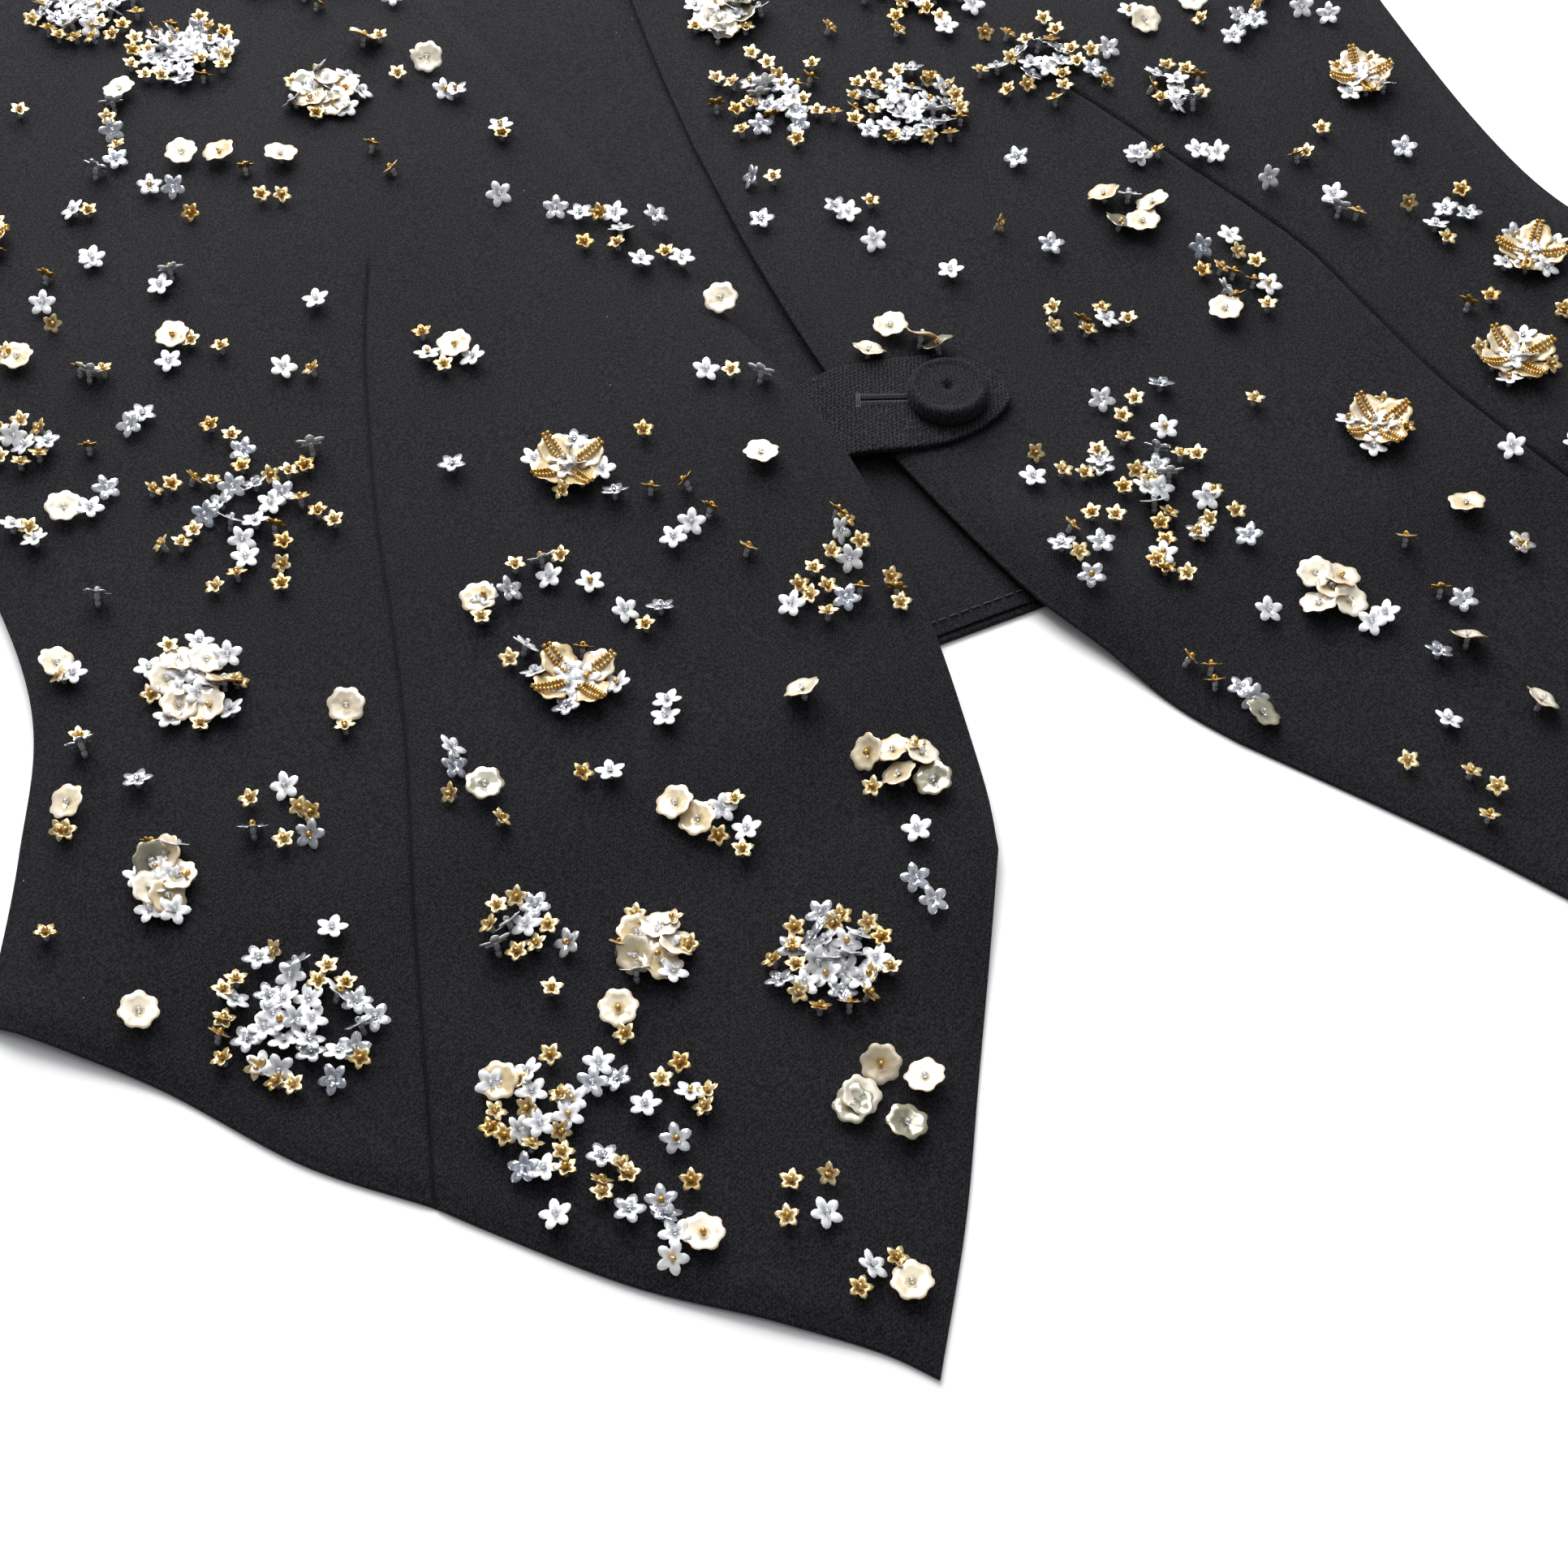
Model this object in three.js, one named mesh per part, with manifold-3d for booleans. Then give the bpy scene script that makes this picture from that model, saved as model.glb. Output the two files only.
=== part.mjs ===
// A black waistcoat with long pointed fronts, laid flat with its back on a table.
//
// Millimetres, +Z up, the neck towards +Y and the table at z = 0. The origin is the
// centre back at the waist, on the face that the back lies on. Left and right are
// the wearer's: the right front, with the tab, lies on the -X side.
//
// A maker cuts a back, a back lining, two darted fronts and a pointed tab. The tab
// is sewn under the edge of the right front and closes on a cloth-covered button of
// the left front. Each piece of cloth is a wall: a grid of points over its outline,
// at the height of what it lies on, and the same points one thickness higher.
import * as THREE from "three";
import { mergeVertices } from "three/addons/utils/BufferGeometryUtils.js";
import Module from "manifold-3d";

// Cloth thicknesses and the clearance between pieces
const BACK_WALL = 1.4;
const LINING_WALL = 1.0;
const FRONT_WALL = 2.0;
const TAB_WALL = 1.8;
const SEAM_GAP = 0.3;

// Landmarks: x is the distance from the centre line, y the height above the waist
const NECK = [80, 412];
const SHOULDER = [165, 378];
const UNDERARM = [222, 190];
const WAIST = [205, 0];
const SIDE_HEM = [237, -78];
const NAPE_Y = 392;
const BACK_HEM_Y = -70;

// Curves shared by both sides, each from its lower end to its upper end
const SIDE_SEAM = [SIDE_HEM, [219, -40], WAIST, [209, 95], UNDERARM];
const BACK_ARMHOLE = [UNDERARM, [188, 198], [160, 238], [152, 292], [156, 342], SHOULDER];
const FRONT_ARMHOLE = [UNDERARM, [184, 194], [151, 232], [139, 288], [147, 340], SHOULDER];

// The two fronts lie a little differently, as cloth does. Each path is a list of
// [distance from the centre line, height above the waist].
const FRONTS = {
  right_front: {
    side: -1,
    slant: [[91, -233], [71, -205], [53, -176], [37.5, -151], [23.8, -128.5]],
    edge: [
      [23.8, -128.5], [19, -114], [13.2, -89], [7.6, -57], [5.2, -30],
      [5, -8], [7.3, 14], [10.5, 37], [14, 72], [19.5, 112],
    ],
    neckline: [[19.5, 112], [25.5, 150], [32.5, 190], [54, 295], NECK],
    dart: [
      [166.5, -157], [158, -130], [146, -91], [133, -52], [123, -16],
      [116, 13], [106, 47], [97, 74], [86, 101],
    ],
    aboveDart: [[86, 101], [84, 190], [100, 300], [122, 396]],
    hemInner: [[91, -233], [98, -224], [114, -209.5], [137, -190], [158, -167], [166.5, -157]],
    hemOuter: [[166.5, -157], [187, -137], [208, -108], [224, -91], SIDE_HEM],
  },
  left_front: {
    side: 1,
    slant: [[107, -229], [88, -199], [72, -172], [57, -149], [40, -124]],
    edge: [
      [40, -124], [33, -111], [25, -90], [17.2, -71.5], [11.4, -48],
      [6.4, -20], [4.3, -1], [3.2, 22], [4.2, 62], [7.8, 108],
    ],
    neckline: [[7.8, 108], [13, 148], [20.5, 190], [48, 300], NECK],
    dart: [
      [175, -155], [165, -126], [152, -90], [143, -56], [138.5, -22],
      [135.5, 3], [128.5, 26], [118, 55], [103, 96],
    ],
    aboveDart: [[103, 96], [98, 190], [106, 300], [122, 396]],
    hemInner: [[107, -229], [114, -220], [129, -204], [149, -184], [167, -164], [175, -155]],
    hemOuter: [[175, -155], [193, -135], [211, -107], [225, -91], SIDE_HEM],
  },
};

// Soft rises of the fronts off what they lie on: centre, reach along and across,
// turn of the long way in degrees from +X, and height
const FOLDS = [
  { on: "right_front", x: -10, y: 0, along: 52, across: 40, turn: 90, rise: 4.7 },
  { on: "right_front", x: -92, y: 108, along: 78, across: 55, turn: 75, rise: 3.3 },
  { on: "right_front", x: -28, y: -122, along: 34, across: 24, turn: 70, rise: 2.6 },
  { on: "right_front", x: -150, y: -128, along: 70, across: 14, turn: 110, rise: 1.4 },
  { on: "right_front", x: -104, y: -188, along: 40, across: 16, turn: 60, rise: 1.2 },
  { on: "right_front", x: -60, y: 230, along: 120, across: 30, turn: 100, rise: 1.6 },
  { on: "left_front", x: 8, y: 2, along: 70, across: 46, turn: 90, rise: 1.9 },
  { on: "left_front", x: 112, y: 92, along: 80, across: 58, turn: 105, rise: 3.7 },
  { on: "left_front", x: 160, y: -118, along: 66, across: 15, turn: 68, rise: 1.4 },
  { on: "left_front", x: 118, y: -186, along: 40, across: 16, turn: 120, rise: 1.2 },
  { on: "left_front", x: 64, y: 235, along: 120, across: 30, turn: 80, rise: 1.6 },
];
const FOLD_TAIL = 0.12; // a fold is cut off where it is this low, so the rest lies flat

// How the walls come together and lie down
const SEAM_REACH = 9; // a front comes down to the back over this distance from a seam
const HEM_DROP = 38; // below the back's hem the fronts reach the table over this length
const EDGE_ROLL = 0.7; // how far a wall's outer face drops at its rim
const DART_DEPTH = 0.8; // depth of the sewn line of a dart
const LINING_INSET = { side: 15, shoulder: 14, hem: 1.6, armhole: 1.6, neck: 1.6 };

// The tab and its button. The tab's rows run from the sewn end to the tip.
const TAB_ROWS = [
  { far: [-17, 14], near: [-14, -10] },
  { far: [-6, 14.1], near: [-4, -12.2] },
  { far: [2.8, 14], near: [3.1, -15.6] },
  { far: [9.5, 13.1], near: [9.2, -18] },
  { far: [16, 11.8], near: [15.3, -19.8] },
  { far: [23.1, 9.9], near: [21, -20.3] },
  { far: [30.4, 7.2], near: [27, -19.5] },
  { far: [35.4, 3.2], near: [32.5, -17.9] },
  { far: [38.6, -1.5], near: [36.7, -15.9] },
  { far: [40.8, -7.3], near: [39.6, -13.6] },
];
const TAB_RISE = [-7, 4]; // x where it leaves the right front and meets the left
const TAB_SLACK = 0.4; // room over the sewn end, and under the button
const TAB_TIP_LIFT = 0.8; // how far the tip stands off the left front
const BUTTON = { x: 25, y: -7.4, radius: 10.15, height: 5.0, shank: 1.5 };
const HOLE = { x: 5.2, y: 1.2, width: 1.0, shankRoom: 2.0 };

const CLOTH = { color: 0x1b1b1e, roughness: 0.85, metalness: 0 };
const LINING_CLOTH = { color: 0x161618, roughness: 0.6, metalness: 0 };

const clamp = (t, low, high) => Math.min(high, Math.max(low, t));
const mix = (a, b, t) => a + (b - a) * t;
const mixPoint = (p, q, t) => [mix(p[0], q[0], t), mix(p[1], q[1], t)];

// 0 before a, 1 after b, and a smooth S between them
function ease(a, b, t) {
  const s = clamp((t - a) / (b - a), 0, 1);
  return s * s * (3 - 2 * s);
}

// A smooth path through points, by its length: path(0) is the first, path(1) the last
function smoothPath(points) {
  const curve = new THREE.CatmullRomCurve3(
    points.map(([x, y]) => new THREE.Vector3(x, y, 0)),
  );
  curve.arcLengthDivisions = 400;
  return (t) => {
    const p = curve.getPointAt(clamp(t, 0, 1));
    return [p.x, p.y];
  };
}

// Several paths end to end; each part says at what share of the whole it stops
function chain(parts) {
  return (t) => {
    const k = parts.findIndex((part) => t <= part.until + 1e-9);
    const from = k > 0 ? parts[k - 1].until : 0;
    return parts[k].path((t - from) / (parts[k].until - from));
  };
}

// A patch between four paths that meet at their ends: the sum of the two rulings,
// less the flat patch through the four corners
function patch({ bottom, top, inner, outer }) {
  return (u, v) => {
    const ruledAcross = mixPoint(inner(v), outer(v), u);
    const ruledUp = mixPoint(bottom(u), top(u), v);
    const corners = mixPoint(
      mixPoint(bottom(0), bottom(1), u),
      mixPoint(top(0), top(1), u),
      v,
    );
    return [0, 1].map((i) => ruledAcross[i] + ruledUp[i] - corners[i]);
  };
}

// A closed wall from a grid of plan points, with the height of its two faces
function wall(grid, low, high) {
  const rows = grid.length;
  const columns = grid[0].length;
  const count = rows * columns;
  const position = [];
  for (const face of [high, low])
    grid.forEach((row, i) =>
      row.forEach(([x, y], j) => position.push(x, y, face(x, y, i, j))),
    );
  const index = [];
  const quad = (a, b, c, d) => index.push(a, b, c, a, c, d);
  const at = (i, j) => i * columns + j;
  for (let i = 0; i + 1 < rows; i++)
    for (let j = 0; j + 1 < columns; j++) {
      const [a, b, c, d] = [at(i, j), at(i, j + 1), at(i + 1, j + 1), at(i + 1, j)];
      quad(a, b, c, d);
      quad(count + d, count + c, count + b, count + a);
    }
  const rim = [];
  for (let j = 0; j < columns - 1; j++) rim.push(at(0, j));
  for (let i = 0; i < rows - 1; i++) rim.push(at(i, columns - 1));
  for (let j = columns - 1; j > 0; j--) rim.push(at(rows - 1, j));
  for (let i = rows - 1; i > 0; i--) rim.push(at(i, 0));
  rim.forEach((a, k) => {
    const b = rim[(k + 1) % rim.length];
    quad(count + a, count + b, b, a);
  });
  const geometry = new THREE.BufferGeometry();
  geometry.setAttribute("position", new THREE.Float32BufferAttribute(position, 3));
  geometry.setIndex(index);
  return geometry;
}

const evenly = (count) => Array.from({ length: count + 1 }, (_, k) => k / count);

// Distance of a plan point from the nearer of the side seam and the shoulder seam,
// which are taken as short straight runs
const SEAM_RUNS = [evenly(24).map(smoothPath(SIDE_SEAM)), [NECK, SHOULDER]];
function fromRun([ax, ay], [bx, by], x, y) {
  const [dx, dy] = [bx - ax, by - ay];
  const t = clamp(((x - ax) * dx + (y - ay) * dy) / (dx * dx + dy * dy), 0, 1);
  return Math.hypot(x - ax - t * dx, y - ay - t * dy);
}
function fromSeams(x, y) {
  const distances = SEAM_RUNS.flatMap((run) =>
    run.slice(1).map((end, k) => fromRun(run[k], end, Math.abs(x), y)),
  );
  return Math.min(...distances);
}

const backHemY = (x) => mix(BACK_HEM_Y, SIDE_HEM[1], (x / SIDE_HEM[0]) ** 2);

// Height of a fold at a point, a smooth bell longer one way than the other
function foldRise(fold, x, y) {
  const turn = THREE.MathUtils.degToRad(fold.turn);
  const [dx, dy] = [x - fold.x, y - fold.y];
  const along = (dx * Math.cos(turn) + dy * Math.sin(turn)) / fold.along;
  const across = (dy * Math.cos(turn) - dx * Math.sin(turn)) / fold.across;
  return fold.rise * Math.exp(-(along ** 2) - across ** 2);
}

// Height of a front's underside: on the lining, down to the back at the seams, down
// to the table below the back's hem, and up over the folds
function frontLow(name, x, y) {
  const onLining = BACK_WALL + LINING_WALL + 2 * SEAM_GAP;
  const onSeam = BACK_WALL + SEAM_GAP;
  const seams = fromSeams(x, y);
  const under = mix(onSeam, onLining, ease(0, SEAM_REACH, seams));
  const below = backHemY(x) - 2 - y;
  const lying = under * (1 - ease(0, HEM_DROP, below));
  const folds = FOLDS.filter((fold) => fold.on === name);
  const rise = folds.reduce((sum, fold) => sum + foldRise(fold, x, y), 0);
  const fade = ease(0, 3 * SEAM_REACH, Math.min(seams, SIDE_HEM[0] - Math.abs(x)));
  return lying + Math.max(0, rise - FOLD_TAIL) * fade;
}

// The back and its lining: one patch from hem to shoulders, mirrored about the middle
const BACK_ROWS = 26;
const BACK_SHARES = [0, 0.1, 0.19, 0.28, 0.32, 0.36, 0.4, 0.46];
const BACK_UNDERARM_LEVEL = 0.55;
function backGrid(inset) {
  const lift = (path, dx, dy) => path.map(([x, y]) => [x - dx, y + dy]);
  const armhole = lift(BACK_ARMHOLE, inset.armhole, 0);
  armhole[0] = [UNDERARM[0] - inset.side, UNDERARM[1] - inset.armhole];
  armhole[armhole.length - 1] = [SHOULDER[0] - inset.armhole, SHOULDER[1] - inset.shoulder];
  const seam = SIDE_SEAM.map(([x, y]) => [x - inset.side, y]);
  seam[0] = [SIDE_HEM[0] - inset.side, backHemY(SIDE_HEM[0] - inset.side) + inset.hem];
  seam[seam.length - 1] = armhole[0];
  const outer = chain([
    { until: BACK_UNDERARM_LEVEL, path: smoothPath(seam) },
    { until: 1, path: smoothPath(armhole) },
  ]);
  const neck = [NECK[0] + inset.neck, NECK[1] - inset.shoulder];
  const [hemX] = outer(0);
  const [tipX, tipY] = outer(1);
  const shoulderShare = 0.5 * (1 - neck[0] / tipX);
  // top runs from the left tip along the shoulder, round the neck, to the other tip
  const neckDrop = neck[1] - NAPE_Y + inset.neck;
  const topHalf = (u) => {
    if (u <= shoulderShare) return mixPoint([tipX, tipY], neck, u / shoulderShare);
    const s = (u - shoulderShare) / (0.5 - shoulderShare);
    const turn = (s * Math.PI) / 2;
    return [neck[0] * Math.cos(turn), neck[1] - neckDrop * Math.sin(turn)];
  };
  const mirrored = (path) => (u) => {
    if (u <= 0.5) return path(u);
    const [x, y] = path(1 - u);
    return [-x, y];
  };
  const hemHalf = (u) => {
    const x = mix(hemX, 0, 2 * u);
    return [x, backHemY(x) + inset.hem];
  };
  const shape = patch({
    bottom: mirrored(hemHalf),
    top: mirrored(topHalf),
    inner: outer,
    outer: (v) => [-outer(v)[0], outer(v)[1]],
  });
  const half = [...BACK_SHARES, shoulderShare];
  const shares = [...half, ...half.map((u) => 1 - u)].sort((a, b) => a - b);
  return evenly(BACK_ROWS).map((v) => shares.map((u) => shape(u, v)).reverse());
}

function back() {
  const grid = backGrid({ side: 0, shoulder: 0, hem: 0, armhole: 0, neck: 0 });
  return wall(grid, () => 0, () => BACK_WALL);
}

function backLining() {
  const low = BACK_WALL + SEAM_GAP;
  return wall(backGrid(LINING_INSET), () => low, () => low + LINING_WALL);
}

// A front: an inner patch from the front edge to the line of the dart, and an outer
// patch from there to the side seam and the armhole
const INNER_SHARES = [0, 0.03, 0.16, 0.3, 0.44, 0.58, 0.72, 0.86, 0.975, 1];
const OUTER_SHARES = [0, 0.025, 0.2, 0.38, 0.56, 0.74, 0.89, 0.96, 1];
const FRONT_ROWS = 36;
const RIM_LEVELS = [0.006, 0.985, 0.994]; // extra rows beside the hem and the shoulder
const EDGE_LEVELS = { corner: 0.2, middle: 0.5 };
function front(name) {
  const cut = FRONTS[name];
  const edge = chain([
    { until: EDGE_LEVELS.corner, path: smoothPath(cut.slant) },
    { until: EDGE_LEVELS.middle, path: smoothPath(cut.edge) },
    { until: 1, path: smoothPath(cut.neckline) },
  ]);
  const dartLine = chain([
    { until: EDGE_LEVELS.middle, path: smoothPath(cut.dart) },
    { until: 1, path: smoothPath(cut.aboveDart) },
  ]);
  const outside = chain([
    { until: EDGE_LEVELS.middle, path: smoothPath(SIDE_SEAM) },
    { until: 1, path: smoothPath(FRONT_ARMHOLE) },
  ]);
  const [, , , shoulderMiddle] = cut.aboveDart;
  const inner = patch({
    bottom: smoothPath(cut.hemInner),
    top: (u) => mixPoint(NECK, shoulderMiddle, u),
    inner: edge,
    outer: dartLine,
  });
  const outer = patch({
    bottom: smoothPath(cut.hemOuter),
    top: (u) => mixPoint(shoulderMiddle, SHOULDER, u),
    inner: dartLine,
    outer: outside,
  });
  const levels = [...evenly(FRONT_ROWS), ...RIM_LEVELS, EDGE_LEVELS.corner];
  levels.sort((a, b) => a - b);
  const columns = INNER_SHARES.length + OUTER_SHARES.length - 1;
  const dartColumn = INNER_SHARES.length - 1;
  const grid = levels.map((v) => {
    const row = [
      ...INNER_SHARES.map((u) => inner(u, v)),
      ...OUTER_SHARES.slice(1).map((u) => outer(u, v)),
    ].map(([x, y]) => [cut.side * x, y]);
    return cut.side < 0 ? row.reverse() : row;
  });
  const low = (x, y) => frontLow(name, x, y);
  const high = (x, y, i, j) => {
    const column = cut.side < 0 ? columns - 1 - j : j;
    const onRim = i === 0 || i === levels.length - 1 || j === 0 || j === columns - 1;
    const onDart = column === dartColumn && levels[i] < EDGE_LEVELS.middle;
    const drop = onRim ? EDGE_ROLL : onDart ? DART_DEPTH : 0;
    return low(x, y) + FRONT_WALL - drop;
  };
  return wall(grid, low, high);
}

// The tab lies under the right front's edge and rises onto the left front
function tabLow(x, y) {
  const underRight = frontLow("right_front", x, y) - SEAM_GAP - TAB_SLACK - TAB_WALL;
  const onLeft = frontLow("left_front", x, y) + FRONT_WALL + SEAM_GAP;
  const tipX = TAB_ROWS.at(-1).far[0];
  const lift = TAB_TIP_LIFT * ease(BUTTON.x, tipX, x);
  return mix(underRight, onLeft + lift, ease(...TAB_RISE, x));
}
function tabBlank() {
  const far = smoothPath(TAB_ROWS.map((row) => row.far));
  const near = smoothPath(TAB_ROWS.map((row) => row.near));
  const shares = [0, 0.04, 0.25, 0.5, 0.75, 0.96, 1];
  const grid = shares.map((u) => evenly(24).map((v) => mixPoint(near(v), far(v), u)));
  const onRim = (i) => i === 0 || i === shares.length - 1;
  const high = (x, y, i) => tabLow(x, y) + TAB_WALL - (onRim(i) ? EDGE_ROLL : 0);
  return wall(grid, tabLow, high);
}

// The buttonhole: a slit from its far end to a round place for the button's shank
function buttonhole() {
  const toShank = Math.atan2(BUTTON.y - HOLE.y, BUTTON.x - HOLE.x);
  const length = Math.hypot(BUTTON.y - HOLE.y, BUTTON.x - HOLE.x);
  const open = Math.asin(HOLE.width / 2 / HOLE.shankRoom);
  const outline = new THREE.Shape();
  outline.moveTo(0, -HOLE.width / 2);
  outline.absarc(length, 0, HOLE.shankRoom, open - Math.PI, Math.PI - open, false);
  outline.lineTo(0, HOLE.width / 2);
  outline.closePath();
  const cutter = new THREE.ExtrudeGeometry(outline, {
    depth: 20,
    bevelEnabled: false,
    curveSegments: 12,
  });
  return cutter.rotateZ(toShank).translate(HOLE.x, HOLE.y, 0);
}

const wasm = await Module();
wasm.setup();

// A geometry as a manifold solid, and a solid's mesh as a geometry
function solidOf(geometry) {
  const bare = geometry.clone();
  bare.deleteAttribute("normal");
  bare.deleteAttribute("uv");
  const merged = mergeVertices(bare, 1e-4);
  return new wasm.Manifold(
    new wasm.Mesh({
      numProp: 3,
      vertProperties: merged.attributes.position.array,
      triVerts: new Uint32Array(merged.index.array),
    }),
  );
}
function geometryOf(solid) {
  const mesh = solid.getMesh();
  const geometry = new THREE.BufferGeometry();
  geometry.setAttribute("position", new THREE.BufferAttribute(mesh.vertProperties, 3));
  geometry.setIndex(new THREE.BufferAttribute(mesh.triVerts, 1));
  return geometry;
}

const tab = () => geometryOf(solidOf(tabBlank()).subtract(solidOf(buttonhole())));

// The button: a cloth-covered dome, dimpled where the thread pulls it in, on a shank
function button() {
  const foot = frontLow("left_front", BUTTON.x, BUTTON.y) + FRONT_WALL + SEAM_GAP;
  const seat = tabLow(BUTTON.x, BUTTON.y) + TAB_WALL + TAB_SLACK;
  const top = seat + BUTTON.height;
  const r = BUTTON.radius;
  const profile = [
    [0, foot],
    [BUTTON.shank, foot],
    [BUTTON.shank, seat],
    [r - 1.3, seat],
    [r - 0.3, seat + 0.9],
    [r, seat + 2.1],
    [r - 0.4, top - 1.7],
    [r - 1.5, top - 0.6],
    [r - 3.4, top],
    [r * 0.42, top - 0.2],
    [r * 0.2, top - 0.9],
    [r * 0.08, top - 1.7],
    [0, top - 1.9],
  ];
  const turned = new THREE.LatheGeometry(
    profile.map(([x, y]) => new THREE.Vector2(x, y)),
    40,
  );
  return turned.rotateX(Math.PI / 2).translate(BUTTON.x, BUTTON.y, 0);
}

function piece(name, geometry, finish) {
  const mesh = new THREE.Mesh(geometry, new THREE.MeshStandardMaterial(finish));
  mesh.name = name;
  return mesh;
}

const waistcoat = new THREE.Group();
waistcoat.add(
  piece("back", back(), CLOTH),
  piece("back_lining", backLining(), LINING_CLOTH),
  piece("right_front", front("right_front"), CLOTH),
  piece("left_front", front("left_front"), CLOTH),
  piece("tab", tab(), CLOTH),
  piece("button", button(), CLOTH),
);

export default waistcoat;
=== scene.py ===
# %% [markdown]
# # A black waistcoat with sequin flowers, laid flat
#
# Two long pointed fronts lie on a plain back. They don't meet: a pointed tab, sewn
# under one edge, closes on a cloth-covered button of the other. The cloth is a black
# wool twill, and small flower sequins on glass beads are sewn all over the fronts.
#
# The garment is modelled in its own frame: x across, from the wearer's right to
# left, y towards the neck, z up from the table. Sizes are in millimetres until a
# mesh is made, because that is how a cutter measures.

import bpy
import numpy as np
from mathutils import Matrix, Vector


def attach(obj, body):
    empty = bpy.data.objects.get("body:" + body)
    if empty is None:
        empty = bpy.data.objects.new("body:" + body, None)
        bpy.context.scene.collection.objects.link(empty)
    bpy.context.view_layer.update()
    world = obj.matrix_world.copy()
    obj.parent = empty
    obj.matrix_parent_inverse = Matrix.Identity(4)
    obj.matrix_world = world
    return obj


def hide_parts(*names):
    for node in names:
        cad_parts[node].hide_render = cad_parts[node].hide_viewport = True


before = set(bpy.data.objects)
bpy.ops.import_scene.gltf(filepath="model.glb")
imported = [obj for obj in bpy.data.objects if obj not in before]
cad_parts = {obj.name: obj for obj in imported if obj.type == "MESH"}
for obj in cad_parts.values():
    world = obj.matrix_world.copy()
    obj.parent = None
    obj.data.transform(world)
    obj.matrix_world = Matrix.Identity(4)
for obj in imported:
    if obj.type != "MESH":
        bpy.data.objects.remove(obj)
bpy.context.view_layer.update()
MM = 0.001
chance = np.random.default_rng(11)
print("solids:", ", ".join(sorted(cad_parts)))

# %% [markdown]
# ## From arrays to a mesh
#
# Every piece below is worked out as an array of points and arrays of corner
# numbers. Blender could add points one by one, but `foreach_set` copies a whole
# array at once, which is quick enough for a hundred thousand faces.


# %% Make a piece from arrays
def piece(name, points, faces, finish, slot="wool_twill", **attributes):
    """Points in mm, and arrays of corner numbers with one row for each face."""
    sizes = np.concatenate([np.full(len(rows), rows.shape[1]) for rows in faces])
    corners = np.concatenate([rows.ravel() for rows in faces])
    mesh = bpy.data.meshes.new(name)
    mesh.vertices.add(len(points))
    mesh.vertices.foreach_set("co", (points * MM).ravel())
    mesh.loops.add(len(corners))
    mesh.loops.foreach_set("vertex_index", corners)
    mesh.polygons.add(len(sizes))
    mesh.polygons.foreach_set("loop_start", np.cumsum(sizes) - sizes)
    mesh.update(calc_edges=True)
    mesh.shade_smooth()
    for key, values in attributes.items():
        layer = mesh.attributes.new(key, "FLOAT", "POINT")
        layer.data.foreach_set("value", np.asarray(values, dtype=np.float32))
    mesh.materials.append(finish)
    obj = bpy.data.objects.new(name, mesh)
    bpy.context.scene.collection.objects.link(obj)
    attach(obj, "root")
    print(f"{name}: {len(points)} points, {int((sizes - 2).sum())} triangles")
    return obj


def grid_quads(rows, columns, wrap=False, closed=False):
    """Corner numbers of a grid of points, row by row. wrap joins its last column to
    its first, and closed its last row."""
    r, c = np.meshgrid(
        np.arange(rows - (not closed)), np.arange(columns - (not wrap)), indexing="ij"
    )
    right, above = (c + 1) % columns, (r + 1) % rows
    quads = np.stack(
        [r * columns + c, r * columns + right, above * columns + right, above * columns + c],
        axis=-1,
    )
    return quads.reshape(-1, 4)


# %% [markdown]
# ## Curves
#
# A cutter draws a neckline or an armhole with a curved rule through a few marks.
# Here a Catmull-Rom curve does that: it passes through each mark, and its slope
# there comes from the marks on both sides. The centripetal kind weighs the slopes
# by the square root of the distances, so it doesn't overshoot where marks are close.


# %% Smooth paths through marks
def ease(a, b, t):
    """0 up to a, 1 from b, and between them the cubic 3s^2 - 2s^3."""
    s = np.clip((np.asarray(t, float) - a) / (b - a), 0, 1)
    return s * s * (3 - 2 * s)


def bell(distance, reach):
    """1 at no distance, falling away as e to the power of -(distance / reach)^2."""
    return np.exp(-((distance / reach) ** 2))


def smooth_path(marks, steps=30):
    """A curve through the marks, as a function of its share of length."""
    p = np.asarray(marks, float)
    p = np.vstack([2 * p[0] - p[1], p, 2 * p[-1] - p[-2]])
    gap = np.sqrt(np.linalg.norm(np.diff(p, axis=0), axis=1))[:, None]
    a, b, c, d = p[:-3], p[1:-2], p[2:-1], p[3:]
    g, h, k = gap[:-2], gap[1:-1], gap[2:]
    leave = h * ((b - a) / g - (c - a) / (g + h) + (c - b) / h)
    arrive = h * ((c - b) / h - (d - b) / (h + k) + (d - c) / k)
    s = np.linspace(0, 1, steps, endpoint=False)[:, None, None]
    dense = (
        (2 * s**3 - 3 * s**2 + 1) * b
        + (s**3 - 2 * s**2 + s) * leave
        + (3 * s**2 - 2 * s**3) * c
        + (s**3 - s**2) * arrive
    )
    dense = np.vstack([dense.transpose(1, 0, 2).reshape(-1, 2), p[-2]])
    run = np.r_[0, np.cumsum(np.linalg.norm(np.diff(dense, axis=0), axis=1))]
    share = run / run[-1]
    return lambda t: np.stack(
        [np.interp(t, share, dense[:, 0]), np.interp(t, share, dense[:, 1])], axis=-1
    )


def chain(*parts):
    """Paths end to end: each part is (share of the whole where it stops, path)."""

    def path(t):
        t = np.asarray(t, float)
        out, start = np.zeros(t.shape + (2,)), 0.0
        for stop, part in parts:
            inside = (t >= start) & (t <= stop)
            local = np.clip((t - start) / (stop - start), 0, 1)
            out = np.where(inside[..., None], part(local), out)
            start = stop
        return out

    return path


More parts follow.
